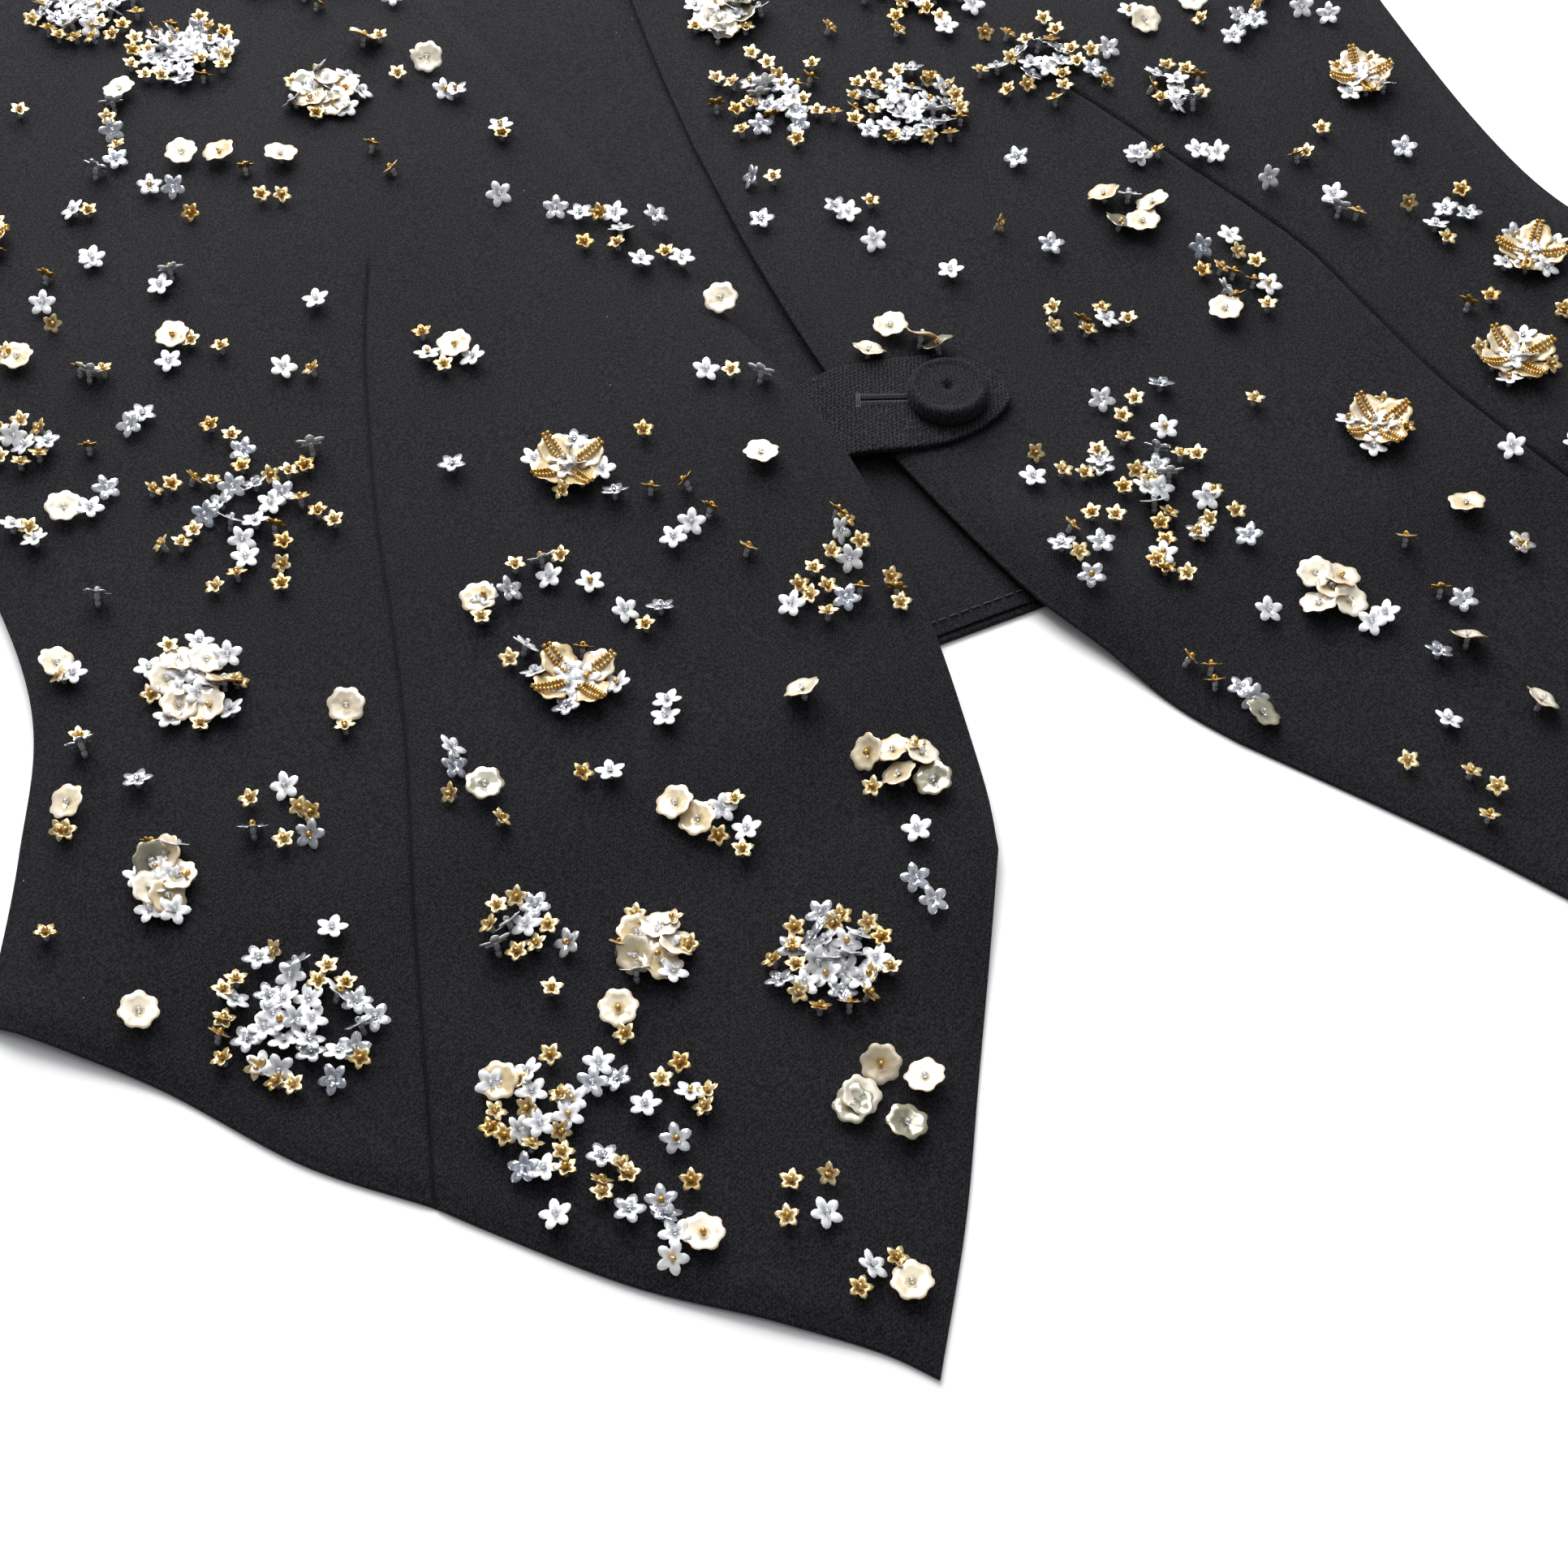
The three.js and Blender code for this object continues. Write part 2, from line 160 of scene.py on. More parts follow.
def straight(a, b):
    """The straight line from a to b."""
    a, b = np.asarray(a, float), np.asarray(b, float)
    return lambda t: a + (b - a) * np.asarray(t, float)[..., None]


BLOCK = 4000  # points compared at once, to spare memory


def away_from(path, xy, samples=500):
    """The distance of each point from the nearest of many samples of a path, and
    the share of the path's length there."""
    t = np.linspace(0, 1, samples)
    marks = path(t)
    flat = xy.reshape(-1, 2)
    near = np.empty(len(flat))
    where = np.empty(len(flat))
    for start in range(0, len(flat), BLOCK):
        part = slice(start, start + BLOCK)
        aside = flat[part, None] - marks[None]
        distance = np.hypot(aside[..., 0], aside[..., 1])
        nearest = distance.argmin(axis=1)
        near[part] = distance[np.arange(len(nearest)), nearest]
        where[part] = t[nearest]
    return near.reshape(xy.shape[:-1]), where.reshape(xy.shape[:-1])


# %% [markdown]
# ## The cut
#
# These are the marks of the pattern as it lies. The sides differ a little, as cloth
# does: the right front swings in, and the left front swings out.
#
# A front's outline has five lines. The slant runs from its point up to the corner of
# the front edge, then come the edge and the neckline. The dart goes up from the hem,
# which it parts in two, and "above" carries its line on to the shoulder.

# %% Marks of the pattern, in millimetres
BACK_WALL, LINING_WALL, FRONT_WALL, TAB_WALL, GAP = 1.4, 1.0, 2.0, 1.8, 0.3
NECK, SHOULDER, UNDERARM = (80, 412), (165, 378), (222, 190)
SIDE_HEM, NAPE_Y, BACK_HEM_Y = (237, -78), 392, -70
SIDE_SEAM = [SIDE_HEM, (219, -40), (205, 0), (209, 95), UNDERARM]
BACK_ARMHOLE = [UNDERARM, (188, 198), (160, 238), (152, 292), (156, 342), SHOULDER]
FRONT_ARMHOLE = [UNDERARM, (184, 194), (151, 232), (139, 288), (147, 340), SHOULDER]
CORNER, MIDDLE = 0.2, 0.5  # shares of a front's rows: to its corner, and the dart's top

FRONTS = {
    "right_front": dict(
        side=-1,
        slant=[(91, -233), (71, -205), (53, -176), (37.5, -151), (23.8, -128.5)],
        edge=[
            (23.8, -128.5), (19, -114), (13.2, -89), (7.6, -57), (5.2, -30),
            (5, -8), (7.3, 14), (10.5, 37), (14, 72), (19.5, 112),
        ],
        neckline=[(19.5, 112), (25.5, 150), (32.5, 190), (54, 295), NECK],
        dart=[
            (166.5, -157), (158, -130), (146, -91), (133, -52), (123, -16),
            (116, 13), (106, 47), (97, 74), (86, 101),
        ],
        above=[(86, 101), (84, 190), (100, 300), (122, 396)],
        hem_inner=[(91, -233), (98, -224), (114, -209.5), (137, -190), (158, -167), (166.5, -157)],
        hem_outer=[(166.5, -157), (187, -137), (208, -108), (224, -91), SIDE_HEM],
    ),
    "left_front": dict(
        side=1,
        slant=[(107, -229), (88, -199), (72, -172), (57, -149), (40, -124)],
        edge=[
            (40, -124), (33, -111), (25, -90), (17.2, -71.5), (11.4, -48),
            (6.4, -20), (4.3, -1), (3.2, 22), (4.2, 62), (7.8, 108),
        ],
        neckline=[(7.8, 108), (13, 148), (20.5, 190), (48, 300), NECK],
        dart=[
            (175, -155), (165, -126), (152, -90), (143, -56), (138.5, -22),
            (135.5, 3), (128.5, 26), (118, 55), (103, 96),
        ],
        above=[(103, 96), (98, 190), (106, 300), (122, 396)],
        hem_inner=[(107, -229), (114, -220), (129, -204), (149, -184), (167, -164), (175, -155)],
        hem_outer=[(175, -155), (193, -135), (211, -107), (225, -91), SIDE_HEM],
    ),
}

for name, cut in FRONTS.items():
    marks = sum(len(line) for key, line in cut.items() if key != "side")
    print(f"{name}: {marks} marks")

# %% [markdown]
# ## How the cloth lies
#
# A cloth simulation could drop the fronts on the back, but laid-out cloth hardly
# moves, and a named soft rise can be put just where the photo shows one: over the
# sewn end of the tab, and where each dart ends and leaves fullness over the bust.
# The height of a front is what it lies on plus these bells.

# %% Heights of the fronts
FOLDS = {  # x, y, reach along, reach across, turn of the long way in degrees, rise
    "right_front": [
        (-10, 0, 52, 40, 90, 4.7),
        (-92, 108, 78, 55, 75, 3.3),
        (-28, -122, 34, 24, 70, 2.6),
        (-150, -128, 70, 14, 110, 1.4),
        (-104, -188, 40, 16, 60, 1.2),
        (-60, 230, 120, 30, 100, 1.6),
    ],
    "left_front": [
        (8, 2, 70, 46, 90, 1.9),
        (112, 92, 80, 58, 105, 3.7),
        (160, -118, 66, 15, 68, 1.4),
        (118, -186, 40, 16, 120, 1.2),
        (64, 235, 120, 30, 80, 1.6),
        (29, -60, 32, 11, 106, 3.2),
    ],
}
FOLD_TAIL = 0.12  # mm taken off each fold, which ends its long faint tail
SEAM_REACH = 9  # mm from a seam over which the layers come together
HEM_START, HEM_DROP = 2, 38  # a front sinks to the table from 2 mm below the back's hem
SIDE_SAMPLES, SHOULDER_SAMPLES = 160, 60
side_seam = smooth_path(SIDE_SEAM)
shoulder_seam = straight(NECK, SHOULDER)


def back_hem_y(x):
    """The back's hem, a shallow parabola that drops towards the side seams."""
    return BACK_HEM_Y + (SIDE_HEM[1] - BACK_HEM_Y) * (np.asarray(x) / SIDE_HEM[0]) ** 2


def front_low(name, xy):
    """Height of a front's underside: the lining's top, eased down at the seams and
    below the back's hem, plus each fold, which is a bell of two reaches."""
    x, y = xy[..., 0], xy[..., 1]
    mirrored = np.stack([np.abs(x), y], axis=-1)
    from_side = away_from(side_seam, mirrored, SIDE_SAMPLES)[0]
    from_shoulder = away_from(shoulder_seam, mirrored, SHOULDER_SAMPLES)[0]
    seams = np.minimum(from_side, from_shoulder)
    on_lining = BACK_WALL + LINING_WALL + 2 * GAP
    on_seam = BACK_WALL + GAP
    under = on_seam + (on_lining - on_seam) * ease(0, SEAM_REACH, seams)
    lying = under * (1 - ease(0, HEM_DROP, back_hem_y(x) - HEM_START - y))
    rise = np.zeros_like(x)
    for fx, fy, along, across, turn, high in FOLDS[name]:
        turn = np.radians(turn)
        dx, dy = x - fx, y - fy
        a = (dx * np.cos(turn) + dy * np.sin(turn)) / along
        b = (dy * np.cos(turn) - dx * np.sin(turn)) / across
        rise = rise + high * np.exp(-(a**2) - b**2)
    inside = np.minimum(seams, SIDE_HEM[0] - np.abs(x))
    return lying + np.maximum(0, rise - FOLD_TAIL) * ease(0, 3 * SEAM_REACH, inside)


WAVES_MM = (90, 70, 52, 41, 33)
FRONT_SEED, LINING_SEED, TAB_SEED = 5, 3, 9


def unevenness(xy, seed):
    """Small waves of soft cloth: a few sines of different lengths and directions."""
    x, y = xy[..., 0], xy[..., 1]
    waves = np.random.default_rng(seed)
    total = np.zeros_like(x)
    for length in WAVES_MM:
        turn, start = waves.uniform(0, np.pi), waves.uniform(0, 2 * np.pi)
        phase = 2 * np.pi * (x * np.cos(turn) + y * np.sin(turn)) / length + start
        total += np.sin(phase) * length / WAVES_MM[0]
    return total


for name, cut in FRONTS.items():
    fold = np.array(FOLDS[name][0][:2], float)[None]
    print(f"{name}: {len(FOLDS[name])} folds, the first lies {front_low(name, fold)[0]:.1f} mm up")


# %% [markdown]
# ## A cut piece of cloth
#
# A turned edge is two layers of cloth, each rolled over, with the seam between
# them. So a cut piece is three strips joined in one closed skin: the upper face, the
# rim, whose profile has two rolls with a crease between, and the lower face.
# Solidify could thicken a sheet too, but its rim is flat.

# %% Closed skins with a rolled rim
RIM = [  # out from the outline in mm, and share of the thickness
    (-0.55, 0.985), (-0.25, 0.91), (-0.06, 0.78), (-0.06, 0.64), (-0.34, 0.54),
    (-0.1, 0.44), (-0.08, 0.26), (-0.34, 0.07),
]
RIM_INSET = 0.9


def cloth_piece(name, grid, low, thick, finish, slot="wool_twill", **attributes):
    """The skin of a grid of plan points (rows, columns, 2): the upper face at
    low + thick, the lower one at low, and between them the rim's rings. A ring is
    the outline moved along its own normal by what the profile says."""
    rows, columns = low.shape
    index = np.arange(rows * columns).reshape(rows, columns)
    ring = np.r_[index[0, :-1], index[:-1, -1], index[-1, :0:-1], index[:0:-1, 0]]
    flat = grid.reshape(-1, 2).copy()
    outline = flat[ring]
    ahead = np.roll(outline, -1, axis=0)
    along = ahead - np.roll(outline, 1, axis=0)
    along /= np.linalg.norm(along, axis=1, keepdims=True)
    # the shoelace sum is negative where the ring runs clockwise
    turn = np.sign(np.sum(outline[:, 0] * ahead[:, 1] - ahead[:, 0] * outline[:, 1]))
    normal = turn * np.stack([along[:, 1], -along[:, 0]], axis=1)
    flat[ring] = outline - RIM_INSET * normal
    lo, th = low.ravel(), np.broadcast_to(thick, low.shape).ravel()
    lo_ring, th_ring = lo[ring], th[ring]
    top = np.column_stack([flat, lo + th])
    bottom = np.column_stack([flat, lo])
    rings = [
        np.column_stack([outline + out * normal, lo_ring + share * th_ring])
        for out, share in RIM
    ]
    points = np.vstack([top, *rings, bottom])
    quads = grid_quads(rows, columns)
    count = rows * columns
    loops = [count + k * len(ring) + np.arange(len(ring)) for k in range(len(RIM))]
    last = count + len(RIM) * len(ring)
    loops = [ring, *loops, last + ring]
    rim = [
        np.stack([upper, lower, np.roll(lower, -1), np.roll(upper, -1)], axis=1)
        for upper, lower in zip(loops[:-1], loops[1:])
    ]
    rim = np.concatenate(rim)
    if turn < 0:
        quads, rim = quads[:, ::-1], rim[:, ::-1]
    faces = [np.concatenate([quads, rim, quads[:, ::-1] + last])]
    for key, values in attributes.items():
        per_ring = [values.ravel()[ring]] * len(RIM)
        attributes[key] = np.concatenate([values.ravel(), *per_ring, values.ravel()])
    return piece(name, points, faces, finish, slot, **attributes)


# %% [markdown]
# ## Patches between curves
#
# A cut piece has four sides, and each is a curve. A Coons patch fills them with a
# grid: it is the sheet that is ruled across, plus the one that is ruled up, less the
# flat one that both count twice. The grid is finer along edges and darts, where the
# cloth bends most.


# %% Fill four curves with a grid
def patch(bottom, top, inner, outer, u, v):
    """A patch between four curves: the ruling across plus the ruling up, less the
    flat patch through the four corners. u has a row for each v."""
    a, b = u[..., None], v[:, None, None]
    across = (1 - a) * inner(v)[:, None] + a * outer(v)[:, None]
    up = (1 - b) * bottom(u) + b * top(u)
    zero, one = np.array(0.0), np.array(1.0)
    corners = (1 - a) * (1 - b) * bottom(zero) + a * (1 - b) * bottom(one)
    corners = corners + (1 - a) * b * top(zero) + a * b * top(one)
    return across + up - corners


def spaced(lengths, count, start, stop):
    """Shares of each length: marks at the start and stop distances from its two
    ends, and count even steps between those."""
    first = np.asarray(start)[None] / lengths[:, None]
    last = 1 - np.asarray(stop)[None, ::-1] / lengths[:, None]
    t = np.linspace(0, 1, count + 1)[None, 1:-1]
    middle = first[:, -1:] + (last[:, :1] - first[:, -1:]) * t
    return np.concatenate([first, middle, last], axis=1)


# %% [markdown]
# ## Colours and nodes
#
# Colour pickers show sRGB, and Blender's sockets hold linear light, so one function
# turns the usual hex values into linear ones. One more adds a node with its
# settings and links, which keeps each material readable from top to bottom.


# %% Two helpers for materials
def colour(hex_value):
    """An sRGB hex value as linear RGBA: a straight foot, then a power of 2.4."""
    c = np.array([int(hex_value[k : k + 2], 16) for k in (1, 3, 5)]) / 255
    linear = np.where(c <= 0.04045, c / 12.92, ((c + 0.055) / 1.055) ** 2.4)
    return (*linear.tolist(), 1.0)


def node(tree, kind, settings=None, **sockets):
    """Add a shader node. settings is a dict, or the name of the node's operation. A
    socket is named with _ for a space, or in0, in1 by number. It takes a value, one
    of another node's outputs, or a node, which stands for its first output."""
    new = tree.nodes.new("ShaderNode" + kind)
    if isinstance(settings, str):
        settings = dict(operation=settings)
    for key, value in (settings or {}).items():
        setattr(new, key, value)
    for key, value in sockets.items():
        by_number = key[:2] == "in" and key[2:].isdigit()
        socket = new.inputs[int(key[2:]) if by_number else key.replace("_", " ")]
        if isinstance(value, bpy.types.Node):
            value = value.outputs[0]
        if isinstance(value, bpy.types.NodeSocket):
            tree.links.new(value, socket)
        else:
            socket.default_value = value
    return new


def new_material(name, **sockets):
    """A material with one main shader, whose sockets take values as node's do."""
    made = bpy.data.materials.new(name)
    made.use_nodes = True
    tree = made.node_tree
    tree.nodes.clear()
    shader = node(tree, "BsdfPrincipled", **sockets)
    node(tree, "OutputMaterial", Surface=shader)
    return made, tree, shader


# %% [markdown]
# ## Black wool twill
#
# Wool twill, piece-dyed black. The weave steps one thread with each row, which gives
# fine steep ribs, here 0.6 mm apart, a little coarser than real ones so that they
# show. Each rib is a row of short floats of yarn. The ribs are a sine across their
# direction and the floats a sine along it, both bent by noise, because no yarn is
# even.

# %% The height of a weave
FLOAT_MM = 1.1
# scales of noise on Object coordinates: a bend in a rib takes 2.4 mm, and a grain of
# yarn is 0.6 mm wide
BEND_SCALE, GRAIN_SCALE = 420.0, 1700.0
RIB_BEND, FLOAT_SHARE, GRAIN_HIGH = 1.1, 0.4, 2.6
ROUGHEN, ROUGHEN_FROM = 2.4, -0.4  # how the grain roughens the ribs
WHOLE_TURN = 2 * np.pi


def weave(tree, where, rib_mm, rib_turn, rib_share):
    """Nodes for the grain of the yarns, the ridge of the ribs, and the height of
    both: sin(across) * (share * sin(along) + 1 - share), roughened by the grain."""
    c, s = np.cos(rib_turn) / MM, np.sin(rib_turn) / MM
    bend = node(tree, "TexNoise", Vector=where, Scale=BEND_SCALE, Detail=2.0)
    grain = node(tree, "TexNoise", Vector=where, Scale=GRAIN_SCALE, Detail=3.0, Roughness=0.65)
    across = (s / rib_mm, -c / rib_mm, 0)
    across = node(tree, "VectorMath", "DOT_PRODUCT", in0=where, in1=across).outputs["Value"]
    across = node(tree, "Math", "MULTIPLY_ADD", in0=bend, in1=RIB_BEND, in2=across)
    along = (c / FLOAT_MM, s / FLOAT_MM, 0)
    along = node(tree, "VectorMath", "DOT_PRODUCT", in0=where, in1=along).outputs["Value"]
    # the floats of one rib stand half a step beside those of the next
    along = node(tree, "Math", "MULTIPLY_ADD", in0=across, in1=0.5, in2=along)
    ribs = node(tree, "Math", "MULTIPLY", in0=across, in1=WHOLE_TURN)
    ribs = node(tree, "Math", "SINE", in0=ribs)
    floats = node(tree, "Math", "MULTIPLY", in0=along, in1=WHOLE_TURN)
    floats = node(tree, "Math", "SINE", in0=floats)
    floats = node(tree, "Math", "MULTIPLY_ADD", in0=floats, in1=FLOAT_SHARE, in2=1 - FLOAT_SHARE)
    ribs = node(tree, "Math", "MULTIPLY", in0=ribs, in1=floats)
    rough = node(tree, "Math", "MULTIPLY_ADD", in0=grain, in1=ROUGHEN, in2=ROUGHEN_FROM)
    ridge = node(tree, "Math", "MULTIPLY", in0=ribs, in1=rough)
    height = node(tree, "Math", "MULTIPLY", in0=grain, in1=GRAIN_HIGH)
    height = node(tree, "Math", "MULTIPLY_ADD", in0=ridge, in1=rib_share, in2=height)
    return grain, ridge, height


# %% [markdown]
# ## The colour of wool
#
# Fibre ends stand off the surface of wool and scatter light, so black wool looks dark
# grey and has hardly any gloss. The tips of the yarns are lightest, the shade drifts
# slowly over the cloth, and a little lint clings to it. The closed fold of a dart
# takes in no light, so a painted shade, carried by the attribute "seam", darkens it.

# %% The twill's material
DRIFT_SCALE = 14.0  # the shade drifts within 70 mm
TIP_LOW, TIP_HIGH, TIP_SHARE = 0.4, 0.64, 0.85  # from this grain to that one, and by how much
RIDGE_SHARE, DRIFT_SHARE, TIP_LOSS = 0.25, 0.25, 0.12
LINT_MM, LINT_APART_MM, LINT_RARE = 0.3, 9, 0.45
# painted shade of the dart's closed fold: how strongly it darkens
PAINTED_FOLD_SHADE = 0.9
# the last colour here is the black of the dart's painted shade
WOOL_BLACK, LINT_GREY, FOLD_SHADE_BLACK = colour("#060607"), colour("#8f8f92"), colour("#020202")
WOOL = dict(
    Roughness=0.82, Specular_IOR_Level=0.12, Sheen_Weight=0.06, Sheen_Roughness=0.45,
    Sheen_Tint=colour("#c9c9d2"),
)
COLOURS = dict(data_type="RGBA")  # a Mix of colours has inputs 6 and 7, and output 2


def twill(name, rib_mm=0.62, rib_turn=65, rib_share=0.9, depth=0.1, light="#2a2a2f"):
    """Twill on Object coordinates, where the cloth lies flat. rib_turn is in degrees,
    depth is the relief in mm, and rib_share how much of it the ribs have, beside the
    grain of the yarns. light is the colour of the yarns' tips."""
    made, tree, shader = new_material(name, **WOOL)
    where = node(tree, "TexCoord").outputs["Object"]
    grain, ridge, height = weave(tree, where, rib_mm, np.radians(rib_turn), rib_share)
    bump = node(tree, "Bump", Strength=1.0, Distance=depth * MM, Height=height)
    tree.links.new(bump.outputs[0], shader.inputs["Normal"])
    drift = node(tree, "TexNoise", Vector=where, Scale=DRIFT_SCALE, Detail=3.0)
    tips = node(tree, "MapRange", in0=grain, in1=TIP_LOW, in2=TIP_HIGH, in3=0.0, in4=TIP_SHARE)
    tips = node(tree, "Math", "MULTIPLY_ADD", in0=ridge, in1=RIDGE_SHARE * rib_share, in2=tips)
    tips = node(tree, "Math", "MULTIPLY_ADD", in0=drift, in1=DRIFT_SHARE, in2=tips)
    within = dict(operation="SUBTRACT", use_clamp=True)
    tips = node(tree, "Math", within, in0=tips, in1=TIP_LOSS)
    woven = node(tree, "Mix", COLOURS, in0=tips, in6=WOOL_BLACK, in7=colour(light))
    # a speck lies in the middle of some cells, whose random colour says which
    lint = node(tree, "TexVoronoi", Vector=where, Scale=1 / (LINT_APART_MM * MM))
    near = node(tree, "Math", "LESS_THAN", in0=lint, in1=LINT_MM / 2 / LINT_APART_MM)
    which = node(tree, "SeparateColor", Color=lint.outputs["Color"])
    which = node(tree, "Math", "GREATER_THAN", in0=which, in1=LINT_RARE)
    speck = node(tree, "Math", "MULTIPLY", in0=near, in1=which)
    flecked = node(tree, "Mix", COLOURS, in0=speck, in6=woven.outputs[2], in7=LINT_GREY)
    # painted shade: the attribute "seam" darkens the dart's closed fold, where no light gets in
    seam = node(tree, "Attribute", dict(attribute_name="seam")).outputs["Fac"]
    seam = node(tree, "Math", "MULTIPLY", in0=seam, in1=PAINTED_FOLD_SHADE)
    closed = node(tree, "Mix", COLOURS, in0=seam, in6=flecked.outputs[2], in7=FOLD_SHADE_BLACK)
    tree.links.new(closed.outputs[2], shader.inputs["Base Color"])
    return made


wool = twill("black_wool_twill")
print("wool nodes:", len(wool.node_tree.nodes))

# %% [markdown]
# ## Lining
#
# Lining has to slip over a shirt, so it is woven finer than the outside. Here it is
# black too, and its fine ribs are seen only close by, so the same material with
# smaller ribs and less relief will do.

# %% The lining's material
fine_twill = twill("black_lining", 0.5, 65, 0.8, 0.08, light="#28282c")
print("lining nodes:", len(fine_twill.node_tree.nodes))

# %% [markdown]
# ## The fronts
#
# Each front is two patches that meet along the dart: one from the front edge to the
# dart, one from the dart to the side seam and the armhole. The dart is a fold sewn
# shut on the inside, so outside it is a fine sunk line, with the cloth a little
# lower on both sides and drawn into small puckers by the stitches.

# %% The dart's relief
LINE_DEEP, LINE_REACH = 1.3, 0.42
VALLEY_DEEP, VALLEY_REACH = 0.3, 2.4
DART_MM, PUCKER_MM, PUCKER_SHARE = 275, 3.1, 0.4
DART_END = 0.03  # share of its length over which the dart runs out
# the painted shade of the dart's closed fold fades out over this reach, in mm
FOLD_SHADE_REACH, EDGE_SAMPLES = 0.4, 900


def dart_relief(dart, grid):
    """How deep each point is sunk: a fine line along the dart, and a shallow valley
    round it with the stitches' puckers, a sine along the dart. Also how much painted
    shade darkens the dart's closed fold."""
    from_dart, share = away_from(dart, grid, EDGE_SAMPLES)
    end = ease(0, DART_END, 1 - share)
    pucker = 1 + PUCKER_SHARE * np.sin(2 * np.pi * share * DART_MM / PUCKER_MM)
    line = LINE_DEEP * bell(from_dart, LINE_REACH)
    valley = VALLEY_DEEP * pucker * bell(from_dart, VALLEY_REACH)
    return (line + valley) * end, bell(from_dart, FOLD_SHADE_REACH) * end


# %% [markdown]
# ## Edges of the fronts
#
# At an edge the allowance is turned in, and shows as a low step 8 mm from it. The
# pressed edge itself thins out towards its seam. So a front's thickness is the
# cloth's, plus that step, less that roll and the dart's relief.

# %% Make the two fronts
ALLOWANCE, ALLOWANCE_EASE, ALLOWANCE_RISE = 8.0, 2, 0.25
EDGE_ROLL, EDGE_ROLL_REACH = 0.95, 3.2
FRONT_THINNEST, FRONT_WAVY = 0.7, 0.08
FRONT_LONG, FRONT_ROWS, INNER_COLUMNS, OUTER_COLUMNS = 600.0, 216, 34, 28
RIM_MARKS, DART_MARKS = (0, 2.4, 4), (0, 0.35, 0.8, 1.4, 2.3, 3.6)  # mm from edge and dart
outlines = {}


def front(name):
    """The grid of a front: its rows run from hem to shoulder, and its columns from
    the front edge across the dart to the side."""
    cut = FRONTS[name]
    mark = {key: smooth_path(cut[key]) for key in cut if key != "side"}
    edge = chain((CORNER, mark["slant"]), (MIDDLE, mark["edge"]), (1, mark["neckline"]))
    dart = chain((MIDDLE, mark["dart"]), (1, mark["above"]))
    outside = chain((MIDDLE, side_seam), (1, smooth_path(FRONT_ARMHOLE)))
    up = spaced(np.array([FRONT_LONG]), FRONT_ROWS, RIM_MARKS, RIM_MARKS)[0]
    up = np.unique(np.round(np.r_[up, CORNER, MIDDLE], 6))
    wide_in = np.linalg.norm(dart(up) - edge(up), axis=1)
    wide_out = np.linalg.norm(outside(up) - dart(up), axis=1)
    across_in = spaced(wide_in, INNER_COLUMNS, RIM_MARKS, DART_MARKS)
    across_out = spaced(wide_out, OUTER_COLUMNS, DART_MARKS, RIM_MARKS)
    crown = cut["above"][-1]
    inner = patch(mark["hem_inner"], straight(NECK, crown), edge, dart, across_in, up)
    outer = patch(mark["hem_outer"], straight(crown, SHOULDER), dart, outside, across_out, up)
    grid = np.concatenate([inner, outer[:, 1:]], axis=1)

    from_edge = away_from(edge, grid, EDGE_SAMPLES)[0]
    for hem in (mark["hem_inner"], mark["hem_outer"]):
        from_edge = np.minimum(from_edge, away_from(hem, grid)[0])
    start, stop = ALLOWANCE - ALLOWANCE_EASE, ALLOWANCE + ALLOWANCE_EASE
    step = ALLOWANCE_RISE * (1 - ease(start, stop, from_edge))
    step = step - EDGE_ROLL * bell(from_edge, EDGE_ROLL_REACH)
    # seam is the painted shade of the dart's closed fold, passed on as the attribute of that name
    sunk, seam = dart_relief(mark["dart"], grid)
    grid = grid * (cut["side"], 1)
    low = front_low(name, grid)
    thick = FRONT_WALL + step + FRONT_WAVY * unevenness(grid, FRONT_SEED + cut["side"]) - sunk
    thick = np.maximum(thick, FRONT_THINNEST)
    outlines[name] = np.vstack([grid[0], grid[1:, -1], grid[-1, -2::-1], grid[-2:0:-1, 0]])
    made = cloth_piece(name + "_cloth", grid, low, thick, wool, seam=seam)
    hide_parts(name)
    return made


right_front = front("right_front")
left_front = front("left_front")

# %% [markdown]
# ## The back and its lining
#
# The back is one piece, and its lining is cut a little smaller, so that it never
# shows at an edge. Their fold at the hem is caught down by a row of small stitches.
# Each is one patch, mirrored about the middle.

# %% The grid of the back
BACK_LONG, SIDE_SHARE = 470.0, 0.55  # mm, and the side seam's share of the outer line
FINE_MARKS = (0, 2.4)
NAPE_ROUND = 4  # the power that rounds the back's neckline


